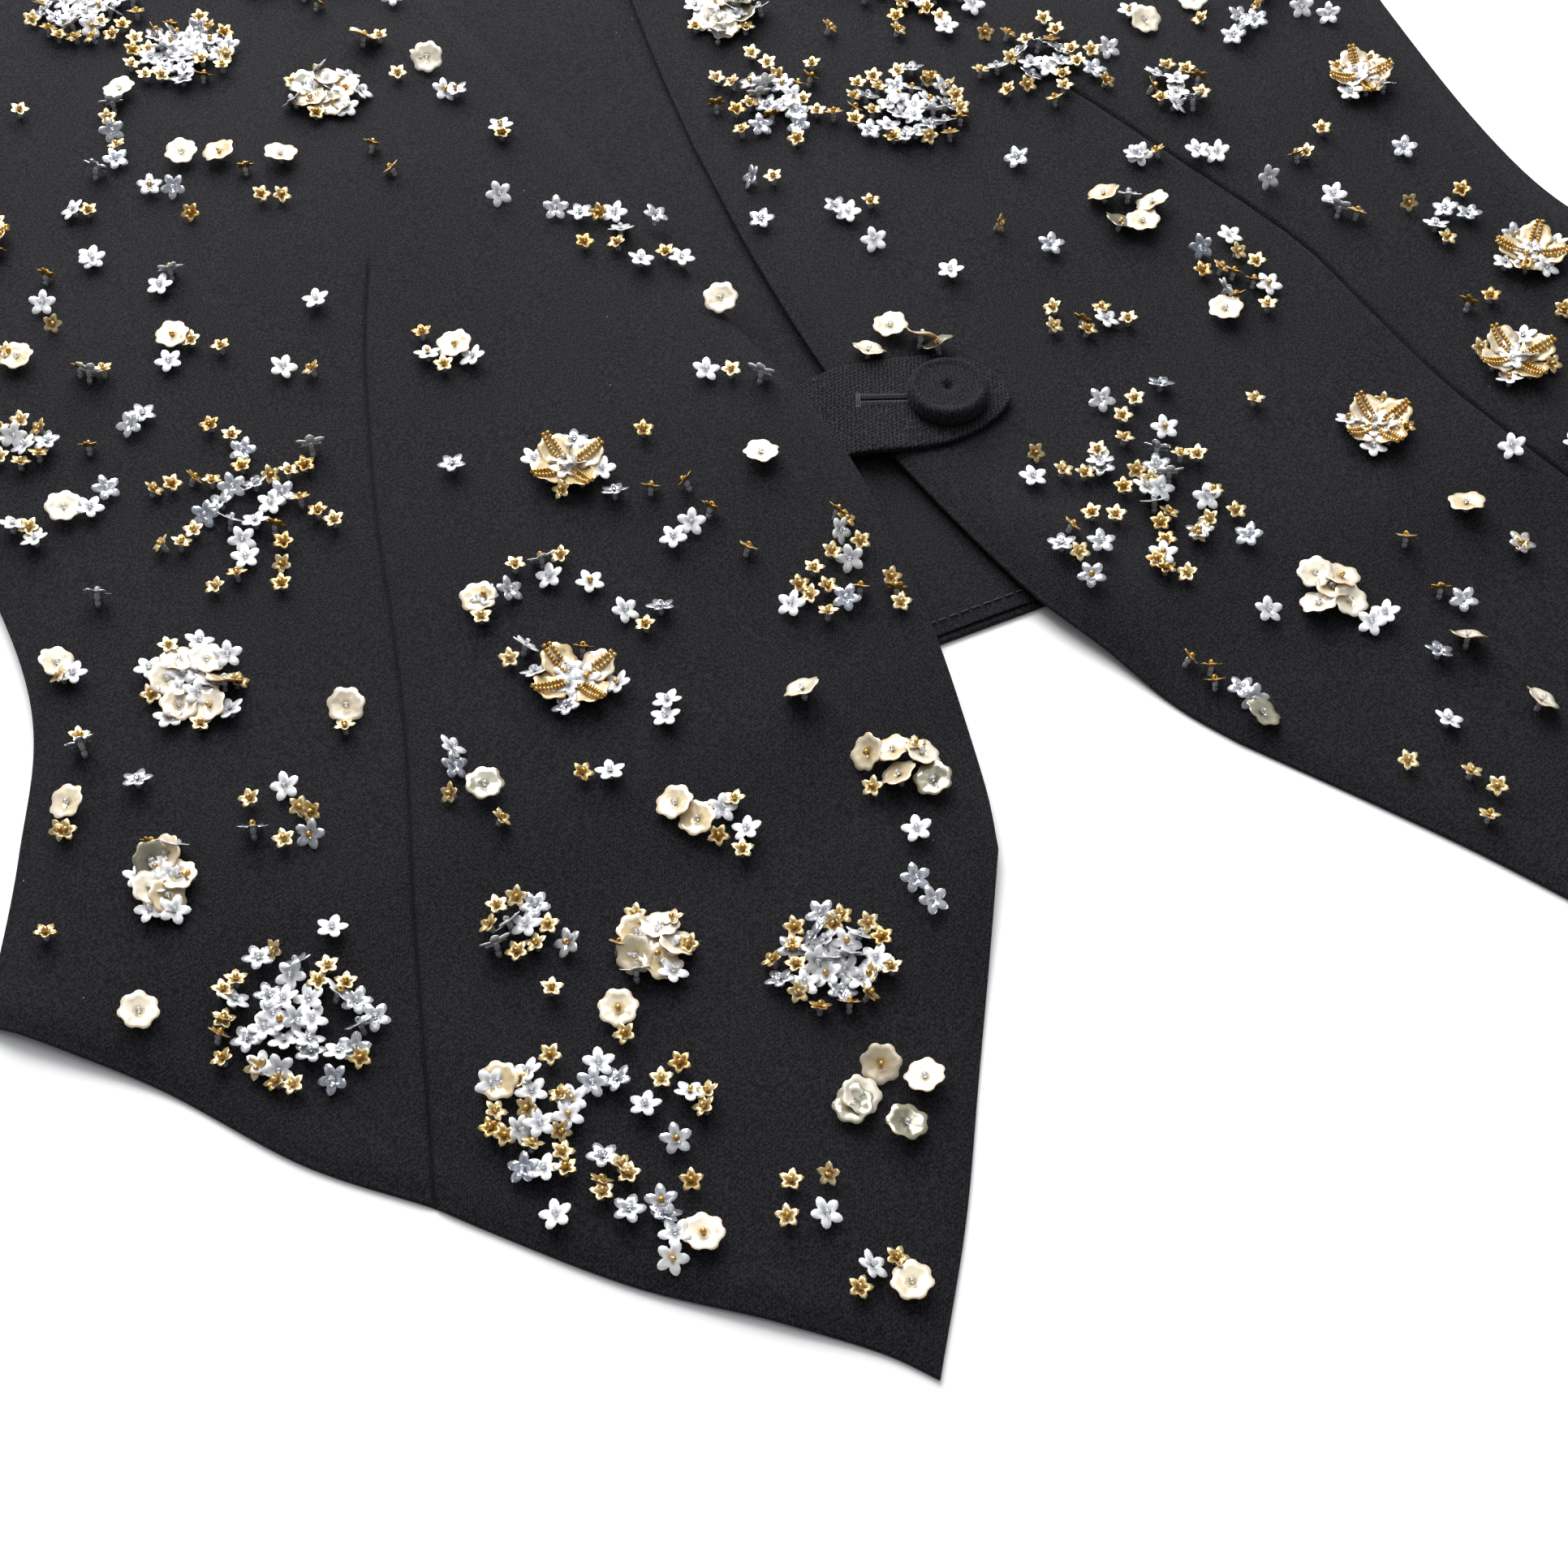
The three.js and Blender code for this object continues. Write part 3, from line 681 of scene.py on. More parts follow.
def back_grid(side, shoulder, edge, columns=40, rows=72):
    """Half of a patch from the hem to the shoulder and the neck, then its mirror
    image. side, shoulder and edge say how much smaller each side is cut."""
    arm = np.array(BACK_ARMHOLE, float) - (edge, 0)
    arm[0] = np.array(UNDERARM) - (side, edge)
    arm[-1] = np.array(SHOULDER) - (edge, shoulder)
    seam = np.array(SIDE_SEAM, float) - (side, 0)
    seam[0, 1] = back_hem_y(seam[0, 0]) + edge
    seam[-1] = arm[0]
    outer = chain((SIDE_SHARE, smooth_path(seam)), (1, smooth_path(arm)))
    neck = np.array(NECK) + (edge, -shoulder)
    hem_x, crown = seam[0, 0], neck[0] / arm[-1, 0]

    def hem(u):
        return np.stack([u * hem_x, back_hem_y(u * hem_x) + edge], axis=-1)

    def top(u):
        drop = neck[1] - NAPE_Y + edge
        inside = neck[1] - drop * (1 - np.clip(u / crown, 0, 1) ** NAPE_ROUND)
        t = np.clip((u - crown) / (1 - crown), 0, 1)
        return np.stack([u * arm[-1, 0], inside + t * (arm[-1, 1] - neck[1])], axis=-1)

    def middle(v):
        y = hem(np.array(0.0))[1] * (1 - v) + top(np.array(0.0))[1] * v
        return np.stack([np.zeros_like(v), y], axis=-1)

    up = spaced(np.array([BACK_LONG]), rows, FINE_MARKS, FINE_MARKS)[0]
    wide = outer(up)[:, 0]
    across = spaced(wide, columns, (0,), FINE_MARKS)
    half = patch(hem, top, middle, outer, across, up)
    return np.concatenate([half[:, :0:-1] * (-1, 1), half], axis=1)


# %% [markdown]
# ## Two layers from one grid
#
# The back lies flat on the table, so its lower face is at height 0. The lining lies
# on it, with soft waves, and thins out towards its pressed hem.

# %% Make the back and the lining
INSET = dict(side=15.0, shoulder=14.0, edge=1.6)
LINING_LOW, LINING_WAVY = BACK_WALL + GAP, 0.08
HEM_THIN, HEM_REACH = 0.6, 7  # mm thinner at the hem, and over how many mm above it
wool_back = twill("black_wool_twill_back")
grid = back_grid(0, 0, 0)
low = np.zeros(grid.shape[:2])
back = cloth_piece("back_cloth", grid, low, BACK_WALL, wool_back)
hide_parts("back")
grid = back_grid(**INSET)
above_hem = grid[..., 1] - back_hem_y(grid[..., 0]) - INSET["edge"]
thick = LINING_WALL + LINING_WAVY * unevenness(grid, LINING_SEED)
thick = thick - HEM_THIN * (1 - ease(0, HEM_REACH, above_hem))
low = low + LINING_LOW
lining = cloth_piece("lining_cloth", grid, low, thick, fine_twill, slot="lining")
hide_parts("back_lining")

# %% [markdown]
# ## The pointed tab
#
# The tab is sewn under the right front's edge and lies over the left front, where
# its button holds it. It is cloth on both sides, turned out through its open end,
# so its rim shows the seam. Its buttonhole is a slit that runs to the button's shank.

# %% Make the tab
TAB_FAR = [
    (-17, 14), (-6, 14.1), (2.8, 14), (9.5, 13.1), (16, 11.8), (23.1, 9.9),
    (30.4, 7.2), (35.4, 3.2), (38.6, -1.5), (40.8, -7.3),
]
TAB_NEAR = [
    (-14, -10), (-4, -12.2), (3.1, -15.6), (9.2, -18), (15.3, -19.8), (21, -20.3),
    (27, -19.5), (32.5, -17.9), (36.7, -15.9), (39.6, -13.6),
]
TAB_RISE, TAB_SLACK, TIP_LIFT, TAB_WAVY = (-7, 4), 0.4, 0.8, 0.05
TAB_LONG, TAB_COLUMNS, TAB_ROWS = 62.0, 126, 76
END_MARKS, SIDE_MARKS = (0, 1.6), (0, 2.0)
BUTTON = np.array([25.0, -7.4])
SLIT_START, SLIT_HALF, SLIT_DEEP = np.array([5.2, 1.2]), 0.42, 1.5
LIP_HIGH, LIP_AT, LIP_REACH = 0.22, 1.1, 0.9  # the cloth swells on both sides of the slit
slit_length = np.linalg.norm(BUTTON - SLIT_START)
slit_along = (BUTTON - SLIT_START) / slit_length
slit_across = np.array([-slit_along[1], slit_along[0]])


def tab_low(xy):
    """The tab's underside: below the right front at its sewn end, then a smooth
    step up onto the left front, and a little lift at the tip."""
    under = front_low("right_front", xy) - GAP - TAB_SLACK - TAB_WALL
    over = front_low("left_front", xy) + FRONT_WALL + GAP
    over = over + TIP_LIFT * ease(BUTTON[0], TAB_FAR[-1][0], xy[..., 0])
    return under + (over - under) * ease(*TAB_RISE, xy[..., 0])


far, near = smooth_path(TAB_FAR), smooth_path(TAB_NEAR)
along = spaced(np.array([TAB_LONG]), TAB_COLUMNS, END_MARKS, END_MARKS)[0]
width = np.linalg.norm(far(along) - near(along), axis=1)
across = spaced(width, TAB_ROWS, SIDE_MARKS, SIDE_MARKS).T[..., None]
grid = near(along)[None] * (1 - across) + far(along)[None] * across
s = (grid - SLIT_START) @ slit_along
t = (grid - SLIT_START) @ slit_across
past_ends = np.maximum(0, np.maximum(-s, s - slit_length))
slit = np.exp(-((np.hypot(t, past_ends) / SLIT_HALF) ** 4))
lips = LIP_HIGH * bell(np.abs(t) - LIP_AT, LIP_REACH) * (past_ends < 1)
waves = TAB_WAVY * unevenness(grid * 2, TAB_SEED)  # half as long as a front's
thick = TAB_WALL + lips - SLIT_DEEP * slit + waves
# painted light: the tab's yarn tips are lighter than the fronts' wool, for the light on the raised
# tab
wool_tab_painted_light = twill("black_wool_twill_tab_painted_light", 1.0, 65, 2.0, 0.15, light="#36363c")
tab = cloth_piece("tab_cloth", grid, tab_low(grid), thick, wool_tab_painted_light)
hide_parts("tab")

# %% [markdown]
# ## The covered button
#
# A covered button is a metal shell with cloth drawn over it. The cloth is pressed
# into a groove, so a round rim stands round a shallow dish, and the thread to the
# shank pulls a dimple in the middle. It is a lathe: one profile turned about its axis.

# %% Make the button
SHANK_R, THREAD_IN, THREADS = 1.5, 0.1, 15
DISH = [  # radius, and height above the button's seat
    (8.4, 0.0), (9.6, 0.5), (10.15, 1.7), (10.0, 3.1), (9.4, 4.3), (8.6, 4.75),
    (7.8, 4.62), (7.0, 4.4), (5.6, 4.35), (3.4, 4.4), (2.1, 4.3), (1.2, 3.8),
    (0.55, 3.1), (0.02, 2.9),
]


def lathe(name, profile, centre, finish, sides=72):
    """A profile of radius and height, turned about an upright line."""
    turn = np.linspace(0, 2 * np.pi, sides, endpoint=False)
    r, z = profile[:, 0, None], profile[:, 1, None]
    points = np.stack(
        [centre[0] + r * np.cos(turn), centre[1] + r * np.sin(turn), z + 0 * turn], axis=-1
    )
    ends = np.array([np.arange(sides)[::-1], np.arange(sides) + (len(profile) - 1) * sides])
    faces = [grid_quads(len(profile), sides, wrap=True), ends]
    return piece(name, points.reshape(-1, 3), faces, finish)


here = BUTTON[None]
foot = (front_low("left_front", here) + FRONT_WALL + GAP)[0]
seat = (tab_low(here) + TAB_WALL + TAB_SLACK)[0]
wound = np.linspace(foot, seat, THREADS)
shank = np.stack([SHANK_R - THREAD_IN * (np.arange(THREADS) % 2), wound], axis=1)
dish = smooth_path(DISH)(np.linspace(0, 1, 90)) + (0, seat)
# painted light: the button's yarn tips are lighter than the fronts' wool, for the light on its
# raised cover
wool_button_painted_light = twill("black_wool_twill_button_painted_light", 0.9, 72, 1.2, 0.11, light="#303035")
button = lathe("button_cover", np.vstack([shank, dish]), BUTTON, wool_button_painted_light)
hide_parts("button")
print(f"button: seat {seat:.2f} mm, top {dish[:, 1].max():.2f} mm")

# %% [markdown]
# ## Stitches
#
# Each stitch is a short bent length of thread, so one function makes them all: it
# takes many paths at once and puts a small round ring at every point of each.


# %% Thread as tubes
def tubes(name, paths, radius, finish, sides=6, slot="wool_twill"):
    """Round tubes along paths (count, steps, 3): a ring stands square to each
    path's direction, and its up is as near to z as it can be."""
    count, steps = paths.shape[:2]
    ahead = np.gradient(paths, axis=1)
    ahead /= np.linalg.norm(ahead, axis=2, keepdims=True)
    side = np.cross(ahead, (0, 0, 1.0))
    side /= np.linalg.norm(side, axis=2, keepdims=True)
    over = np.cross(side, ahead)
    a = np.linspace(0, 2 * np.pi, sides, endpoint=False)[:, None]
    rings = np.cos(a) * side[:, :, None] + np.sin(a) * over[:, :, None]
    points = paths[:, :, None] + radius * rings
    start = (np.arange(count) * steps * sides)[:, None, None]
    walls = grid_quads(steps, sides, wrap=True)[None] + start
    caps = np.stack([np.arange(sides), np.arange(sides)[::-1] + (steps - 1) * sides])
    faces = [walls.reshape(-1, 4), (caps[None] + start).reshape(-1, sides)]
    return piece(name, points.reshape(-1, 3), faces, finish, slot)


# Spun silk is a little smoother than the wool round it, and its colour, lighter than the wool's,
# is a painted sheen on black thread
SILK_WITH_PAINTED_SHEEN = dict(Base_Color=colour("#39393e"), Roughness=0.65, Specular_IOR_Level=0.25)
silk = new_material("black_silk_thread_painted_sheen", **SILK_WITH_PAINTED_SHEEN)[0]
THREAD_R = 0.2
bend = np.linspace(0, 1, 7)
arch = np.sin(np.pi * bend)

# %% [markdown]
# ## The worked buttonhole and the hem
#
# The buttonhole has close stitches square to the slit on both sides and a bar across
# its end. The lining's hem has small running stitches. Every stitch is an arch, the
# height of half a sine wave, whose ends dip into the cloth.

# %% Make the stitches
SUNK = 0.1  # mm that a stitch's ends are below the cloth


def tab_stitches(s_from, s_to, t_from, t_to, lift):
    """Threads over the tab, from one pair of slit coordinates to the other, each
    arched over the cloth by lift."""
    sa = s_from[:, None] + (s_to - s_from)[:, None] * bend
    ta = t_from[:, None] + (t_to - t_from)[:, None] * bend
    xy = SLIT_START + sa[..., None] * slit_along + ta[..., None] * slit_across
    z = tab_low(xy) + TAB_WALL + lift * arch - SUNK
    return np.concatenate([xy, z[..., None]], axis=-1)


WORKED_FROM, WORKED_TO, WORKED_PITCH, UNEVEN = 0.3, 13.5, 0.5, 0.05
INSIDE, OUTSIDE, WORKED_LIFT = 0.45, 1.75, 0.42  # mm from the slit's middle line
BAR_AT, BAR_HALF, BAR_LIFT = np.array([-0.75, -0.35, 0.05]), 2.4, 0.5
pitch = np.arange(WORKED_FROM, WORKED_TO, WORKED_PITCH)
still = np.zeros(len(pitch))
shift = chance.normal(0, UNEVEN, (2, len(pitch)))
rows = []
for k, side in enumerate((1, -1)):
    inner, outer = side * INSIDE + still, side * OUTSIDE + shift[k]
    rows.append(tab_stitches(pitch, pitch + shift[k], inner, outer, WORKED_LIFT))
still = np.zeros(len(BAR_AT))
rows.append(tab_stitches(BAR_AT, BAR_AT, still - BAR_HALF, still + BAR_HALF, BAR_LIFT))
tubes("buttonhole_stitches", np.concatenate(rows), THREAD_R, silk)

STITCH_MM, HEM_PITCH, HEM_HALF, ABOVE_HEM, HEM_LIFT = 2.0, 2.9, 70, 3.6, 0.12
hem_x = np.arange(-HEM_HALF, HEM_HALF, HEM_PITCH)[:, None] + STITCH_MM * bend
hem_y = back_hem_y(hem_x) + INSET["edge"] + ABOVE_HEM
hem_z = LINING_LOW + LINING_WALL - SUNK + HEM_LIFT * arch + 0 * hem_x
hem_paths = np.stack([hem_x, hem_y, hem_z], axis=-1)
tubes("hem_stitches", hem_paths, THREAD_R, silk, slot="lining")

# %% [markdown]
# ## Sequins and beads
#
# Three kinds of sequin are pressed from thin sheet: a small gold flower, a pearly
# star with five petals, and a large lobed disc. Each stands on two glass beads, and
# a third bead, on its side, stops the thread on top. One outline formula makes all
# three: a circle with soft notches, cupped like a shallow bowl.


# %% Shapes of sequins and beads
HOLE_R, SHEET, UNDER, LOWER_RING, WAIST = 0.45, 0.18, 2.0, 0.6, 0.45


def pressed_flower(petals, radius, notch, fullness, cup, keel, ruffle, rings, around):
    """A pressed sequin about its hole, as points, quads and each point's share of the
    way out, or UNDER on the lower face. With x from -1 to 1 across a petal, it reaches
    radius * (1 - notch * |x| ** fullness). Its height is a bowl, cup * share^2, plus
    a keel along each petal and a ruffle of three waves at the edge. Both faces are
    one closed grid: out over the upper one and back below, where a deep bowl has one
    more ring, so that the lower face stays under the upper one."""
    t = np.linspace(0, 2 * np.pi, around, endpoint=False)
    x = np.abs((t * petals / (2 * np.pi) + 0.5) % 1 - 0.5) * 2
    reach = radius * (1 - notch * x**fullness)
    share = np.linspace(0, 1, rings + 1)
    share = np.r_[share, 1, [LOWER_RING] * (rings > 2), 0][:, None]
    below = (np.arange(len(share)) > rings)[:, None]
    r = HOLE_R + (reach - HOLE_R) * share
    z = cup * share**2 + keel * (1 - x) * share + ruffle * np.sin(3 * t) * share**2
    points = np.stack([r * np.cos(t), r * np.sin(t), z - SHEET * below], axis=-1)
    quads = grid_quads(len(share), around, wrap=True, closed=True)
    out = np.where(below, UNDER, share)
    return points.reshape(-1, 3), quads, np.repeat(out[:, 0], around)


def glass_ring(radius, hole, high, around=8, section=5):
    """A seed bead: an oval section of half height high, turned about z."""
    t = np.linspace(0, 2 * np.pi, around, endpoint=False)
    a = np.linspace(0, 2 * np.pi, section, endpoint=False)[:, None]
    middle, half = (radius + hole) / 2, (radius - hole) / 2
    r = middle + half * np.cos(a)
    points = np.stack([r * np.cos(t), r * np.sin(t), high * np.sin(a) + 0 * t], axis=-1)
    quads = grid_quads(section, around, wrap=True, closed=True)
    return points.reshape(-1, 3), quads, np.zeros(around * section)


def two_beads(radius, around=7):
    """Two beads on end, one on the other, in a height of 1. The radius swells as
    |sin|^0.6, from a share WAIST between the beads to the whole radius."""
    z = np.array([0, 0.1, 0.38, 0.5, 0.62, 0.9, 1])
    swell = np.abs(np.sin(2 * np.pi * z)) ** 0.6
    r = radius * (WAIST + (1 - WAIST) * swell)[:, None]
    t = np.linspace(0, 2 * np.pi, around, endpoint=False)
    points = np.stack([r * np.cos(t), r * np.sin(t), z[:, None] + 0 * t], axis=-1)
    quads = grid_quads(len(z), around, wrap=True)
    return points.reshape(-1, 3), quads, np.zeros(len(z) * around)


# petals, then radius, notch, fullness, cup, keel and ruffle, then rings and points
SHAPES = {
    "gold": pressed_flower(5, 2.7, 0.46, 1.3, 0.5, 0.2, 0.0, 2, 20),
    "white": pressed_flower(5, 3.6, 0.5, 1.6, 0.2, 0.3, 0.1, 2, 30),
    "disc": pressed_flower(7, 4.5, 0.2, 2.2, 0.8, 0.0, 0.35, 3, 35),
}
SHAPES.update(blue=SHAPES["white"], grey=SHAPES["disc"], couched=SHAPES["disc"])
REACH = dict(gold=2.65, white=3.55, blue=3.55, disc=4.55, grey=4.55, couched=4.55)
TOP_BEAD, STEM_BEADS = glass_ring(0.8, 0.22, 0.5), two_beads(0.8)
TINY_BEAD = glass_ring(0.64, 0.18, 0.42, 7, 4)
print("points of one:", ", ".join(f"{kind} {len(SHAPES[kind][0])}" for kind in REACH))

# %% [markdown]
# ## Finishes of the sequins
#
# Gold flowers are thinly metallised, so they mirror the soft lights. Pearly ones have
# a white or cream coat under a clear one, and a darker back. An attribute with one
# value for each sequin shifts its shade, because lots are never quite alike, and
# another runs from the heart to the edge. Along it a painted shade darkens the heart
# of the gold, white and clear sequins, brown on the gold ones, and a painted highlight
# lightens their edges. The gold rim of the couched discs is their own colour.


# %% Materials of sequins and beads
EDGE_SHARE, EDGE_FROM = 0.75, 0.5  # how much of the edge's colour the way out brings
RIM_OUT, BACK_OUT = 0.82, 1.3  # the back's colour starts just inside the rim
COAT_ROUGHNESS = 0.08


def sequin_finish(name, edge, heart, under, metal, rough, clear=0.0, coat=0.4):
    """A sheet whose colour runs from the heart to the edge, earlier or later by the
    piece's own shade, with a lower face of its own colour. On gold, white and clear
    sheets the darker heart is a painted shade and the paler edge a painted highlight."""
    made, tree, shader = new_material(
        name, Metallic=metal, Roughness=rough, Transmission_Weight=clear,
        Coat_Weight=coat, Coat_Roughness=COAT_ROUGHNESS,
    )
    shade = node(tree, "Attribute", dict(attribute_name="shade")).outputs["Fac"]
    out = node(tree, "Attribute", dict(attribute_name="out")).outputs["Fac"]
    blend = node(tree, "Math", "MULTIPLY_ADD", in0=out, in1=EDGE_SHARE, in2=EDGE_FROM)
    blend = node(tree, "Math", "SUBTRACT", in0=blend, in1=shade)
    # the mix from heart to edge carries the painted shade and painted highlight of gold, white and
    # clear sheets
    tint_with_painted_shade = node(tree, "Mix", COLOURS, in0=blend, in6=colour(heart), in7=colour(edge))
    lower = node(tree, "MapRange", in0=out, in1=RIM_OUT, in2=BACK_OUT)
    faced = node(tree, "Mix", COLOURS, in0=lower, in6=tint_with_painted_shade.outputs[2], in7=colour(under))
    tree.links.new(faced.outputs[2], shader.inputs["Base Color"])
    return made


# name, colours of edge, heart and back, metal, roughness, clearness and coat
SHEETS = {
    # painted shade at the heart and painted highlight at the edge of the gold, white and clear
    # sheets; the couched discs' gold rim is their own
    "gold": ("gold_sheet", "#f6e3b0", "#a47a2c", "#a87c2c", 0.5, 0.18),
    "white": ("white_pearl_sheet", "#fdfdfd", "#d4d5da", "#ececee", 0.0, 0.16, 0.0, 1.0),
    "blue": ("clear_sheet", "#f5f6fa", "#b6bdce", "#ced3de", 0.0, 0.08, 0.7, 1.0),
    "disc": ("cream_pearl_sheet", "#fcf6e8", "#dfc99c", "#c8994a", 0.12, 0.2, 0.0, 1.0),
    "grey": ("smoky_pearl_sheet", "#c2bfaa", "#847f68", "#a08a58", 0.3, 0.2, 0.2),
    # clear glass: the white share left by its clearness is a painted highlight
    "glass": ("clear_glass", "#ffffff", "#f1f4fa", "#ffffff", 0.0, 0.05, 0.8),
    "gilt": ("gold_lined_glass", "#f6da92", "#c4943c", "#b5832c", 0.6, 0.2),
    "couched": ("gold_edged_sheet", "#e6cb92", "#f6f0e0", "#b98a38", 0.2, 0.2, 0.0, 1.0),
}
FINISHES = {kind: sequin_finish(*values) for kind, values in SHEETS.items()}
print("finishes:", ", ".join(made.name for made in FINISHES.values()))

# %% [markdown]
# ## Where the sequins are sewn
#
# Sequin flowers are scattered as in a meadow: sprays, wreaths, suns and single
# blossoms, with bare cloth between. Single ones are placed by their pixel in the
# photo: the pixel's ray is followed down to the cloth. The large flowers are recipes
# of rings and rays, with a little chance in each place, because a hand sews them.

# %% From the photo to the cloth
LENS_MM, SENSOR_MM, PHOTO_PX = 63.17, 36, 1932
PHOTO_CENTRE, FOCAL_PX = PHOTO_PX / 2, LENS_MM / SENSOR_MM * PHOTO_PX
AZIMUTH, ELEVATION = np.radians(-25), np.radians(54)
EYE = np.array((-211.2, -419.1, 499.0))
RIGHT = np.array((np.cos(AZIMUTH), np.sin(AZIMUTH), 0))
level = np.array((-np.sin(AZIMUTH), np.cos(AZIMUTH), 0)) * np.cos(ELEVATION)
AHEAD = level - (0, 0, np.sin(ELEVATION))
OVER = np.cross(RIGHT, AHEAD)
STAND = 2.1  # height of a sequin on its two beads
FIRST_GUESS, ROUNDS = 10.0, 4  # mm, and how often the height is looked up again


def front_top(name, xy):
    """Height of a front's upper face, without its small waves."""
    return front_low(name, xy) + FRONT_WALL


def on_front(name, pixels):
    """Plan points where photo pixels' rays come to a sequin's height over a front.
    A ray runs ahead by the focal length, and aside by its pixel's distance from the
    photo's middle. Where it ends gives a height, and that height a better end."""
    p = np.atleast_2d(np.asarray(pixels, float)) - PHOTO_CENTRE
    ray = RIGHT * p[:, :1] - OVER * p[:, 1:] + AHEAD * FOCAL_PX
    z = np.full(len(p), FIRST_GUESS)
    for _ in range(ROUNDS):
        xy = EYE[:2] + ray[:, :2] * ((z - EYE[2]) / ray[:, 2])[:, None]
        z = front_top(name, xy) + STAND
    return xy


at_centre = on_front("right_front", (PHOTO_CENTRE, PHOTO_CENTRE))[0]
print("the photo's middle is on the garment at", np.round(at_centre, 1), "mm")

# %% [markdown]
# ## The single sequins
#
# Each pair is a pixel, across and down, where the middle of one sequin shows. The
# list is sorted by front and by kind, and holds only places: a sequin's shape, colour
# and tilt come from its kind and from chance.

# %% Places in photo pixels
SINGLES = {
    ("right_front", "gold"): [
        (235, 262), (322, 241), (347, 241), (738, 262), (720, 298), (760, 300), (820, 310),
        (272, 427), (384, 455), (235, 420), (547, 450), (520, 410), (793, 530), (901, 457),
        (802, 600), (845, 595), (875, 627), (921, 675), (593, 760), (635, 697), (690, 685),
        (795, 770), (1031, 630), (1060, 668), (1025, 680), (1003, 700), (1020, 722),
        (1060, 725), (998, 733), (1020, 755), (1098, 712), (1105, 728), (1110, 743),
        (628, 812), (425, 895), (555, 978), (617, 1008), (718, 952), (905, 985), (885, 1030),
        (915, 1048), (368, 995), (308, 985), (350, 1035), (383, 1000), (680, 1218),
        (770, 1275), (678, 1300), (690, 1350), (610, 1370), (605, 1390), (650, 1365),
        (655, 1410), (693, 1420), (697, 1440), (775, 1447), (740, 1455), (815, 1330),
        (838, 1310), (868, 1365), (852, 1455), (975, 1455), (1022, 1447), (970, 1500),
        (1105, 1550), (1060, 1587), (1075, 970), (1128, 918), (640, 1330), (622, 1400),
        (690, 1395), (765, 1435), (742, 1470), (872, 1345), (1042, 640), (985, 722),
    ],
    ("right_front", "white"): [
        (615, 240), (757, 262), (765, 282), (790, 320), (840, 318), (197, 352), (210, 335),
        (389, 369), (208, 445), (349, 453), (527, 435), (582, 440), (870, 456), (938, 461),
        (852, 645), (830, 663), (667, 690), (677, 710), (727, 717), (770, 752), (1035, 657),
        (1048, 690), (975, 745), (648, 797), (822, 863), (820, 883), (752, 950), (557, 922),
        (890, 997), (920, 1022), (1130, 1022), (352, 970), (409, 1143), (650, 1320),
        (738, 1310), (640, 1395), (665, 1385), (700, 1375), (670, 1440), (685, 1497),
        (795, 1362), (850, 1345), (828, 1550), (1018, 1495), (1075, 1560), (832, 1520),
        (605, 1335), (655, 1345), (705, 1355),
    ],
    ("right_front", "blue"): [
        (685, 258), (715, 262), (808, 265), (557, 572), (757, 605), (628, 727), (814, 747),
        (560, 945), (312, 1022), (382, 1028), (1128, 1083), (1150, 1110), (760, 1330),
        (743, 1425), (775, 1490), (833, 1405), (820, 1495), (700, 1163), (730, 1335),
        (1043, 738), (597, 735), (645, 1440), (815, 1480),
    ],
    ("right_front", "disc"): [
        (888, 369), (213, 415), (938, 558), (590, 738), (427, 870), (989, 852), (1070, 932),
        (1100, 925), (1135, 930), (1108, 958), (832, 990), (762, 1243), (615, 1333),
        (867, 1520), (1124, 1580), (1085, 1312), (1140, 1328), (1060, 1350), (860, 1010),
        (560, 425),
    ],
    ("right_front", "grey"): [
        (597, 968), (1150, 962), (1117, 1385), (1052, 1362),
    ],
    ("left_front", "gold"): [
        (1073, 248), (1231, 277), (1525, 310), (1548, 322), (1482, 333), (1520, 335),
        (1562, 376), (1525, 365), (1297, 380), (1357, 380), (1390, 393), (1298, 403),
        (1340, 407), (1333, 395), (1672, 262), (1735, 250), (1383, 513), (1546, 491),
        (1275, 558), (1310, 580), (1337, 583), (1385, 540), (1455, 560), (1475, 560),
        (1400, 580), (1418, 592), (1440, 632), (1495, 605), (1523, 630), (1345, 632),
        (1375, 634), (1320, 647), (1330, 680), (1430, 645), (1437, 665), (1437, 700),
        (1463, 706), (1475, 658), (1732, 663), (1465, 812), (1492, 822), (1497, 840),
        (1735, 938), (1398, 492), (1352, 555), (1505, 330), (1545, 345), (1425, 690),
        (1490, 640), (1385, 600),
    ],
    ("left_front", "white"): [
        (1045, 262), (1077, 297), (1171, 333), (1510, 360), (1563, 350), (1363, 393),
        (1390, 240), (1643, 240), (1650, 258), (1273, 587), (1355, 567), (1435, 528),
        (1412, 600), (1430, 603), (1487, 613), (1433, 683), (1563, 752), (1690, 767),
        (1707, 755), (1515, 290), (1422, 620), (1440, 585),
    ],
    ("left_front", "blue"): [
        (938, 270), (1030, 255), (1295, 302), (1480, 308), (1430, 472), (1357, 494),
        (1425, 557), (1308, 670), (1357, 668), (1538, 660), (1345, 710), (1530, 848),
        (1545, 860), (1425, 575), (1478, 655), (1358, 575),
    ],
    ("left_front", "disc"): [
        (1408, 275), (1420, 250), (1510, 382), (1360, 240), (1620, 708), (1652, 712),
        (1625, 745), (1662, 742), (1640, 725), (1097, 402), (1135, 418), (1070, 432),
    ],
    ("left_front", "grey"): [(1380, 275), (1555, 880), (1155, 428)],
}
print("sequins placed one by one:", sum(len(v) for v in SINGLES.values()))

# %% [markdown]
# ## Recipes for the large flowers
#
# Each recipe gives places inside a circle of radius 1, and the flower's own two half
# axes stretch that circle over the cloth. The number in a ring follows from its
# length and from the room that one sequin needs.


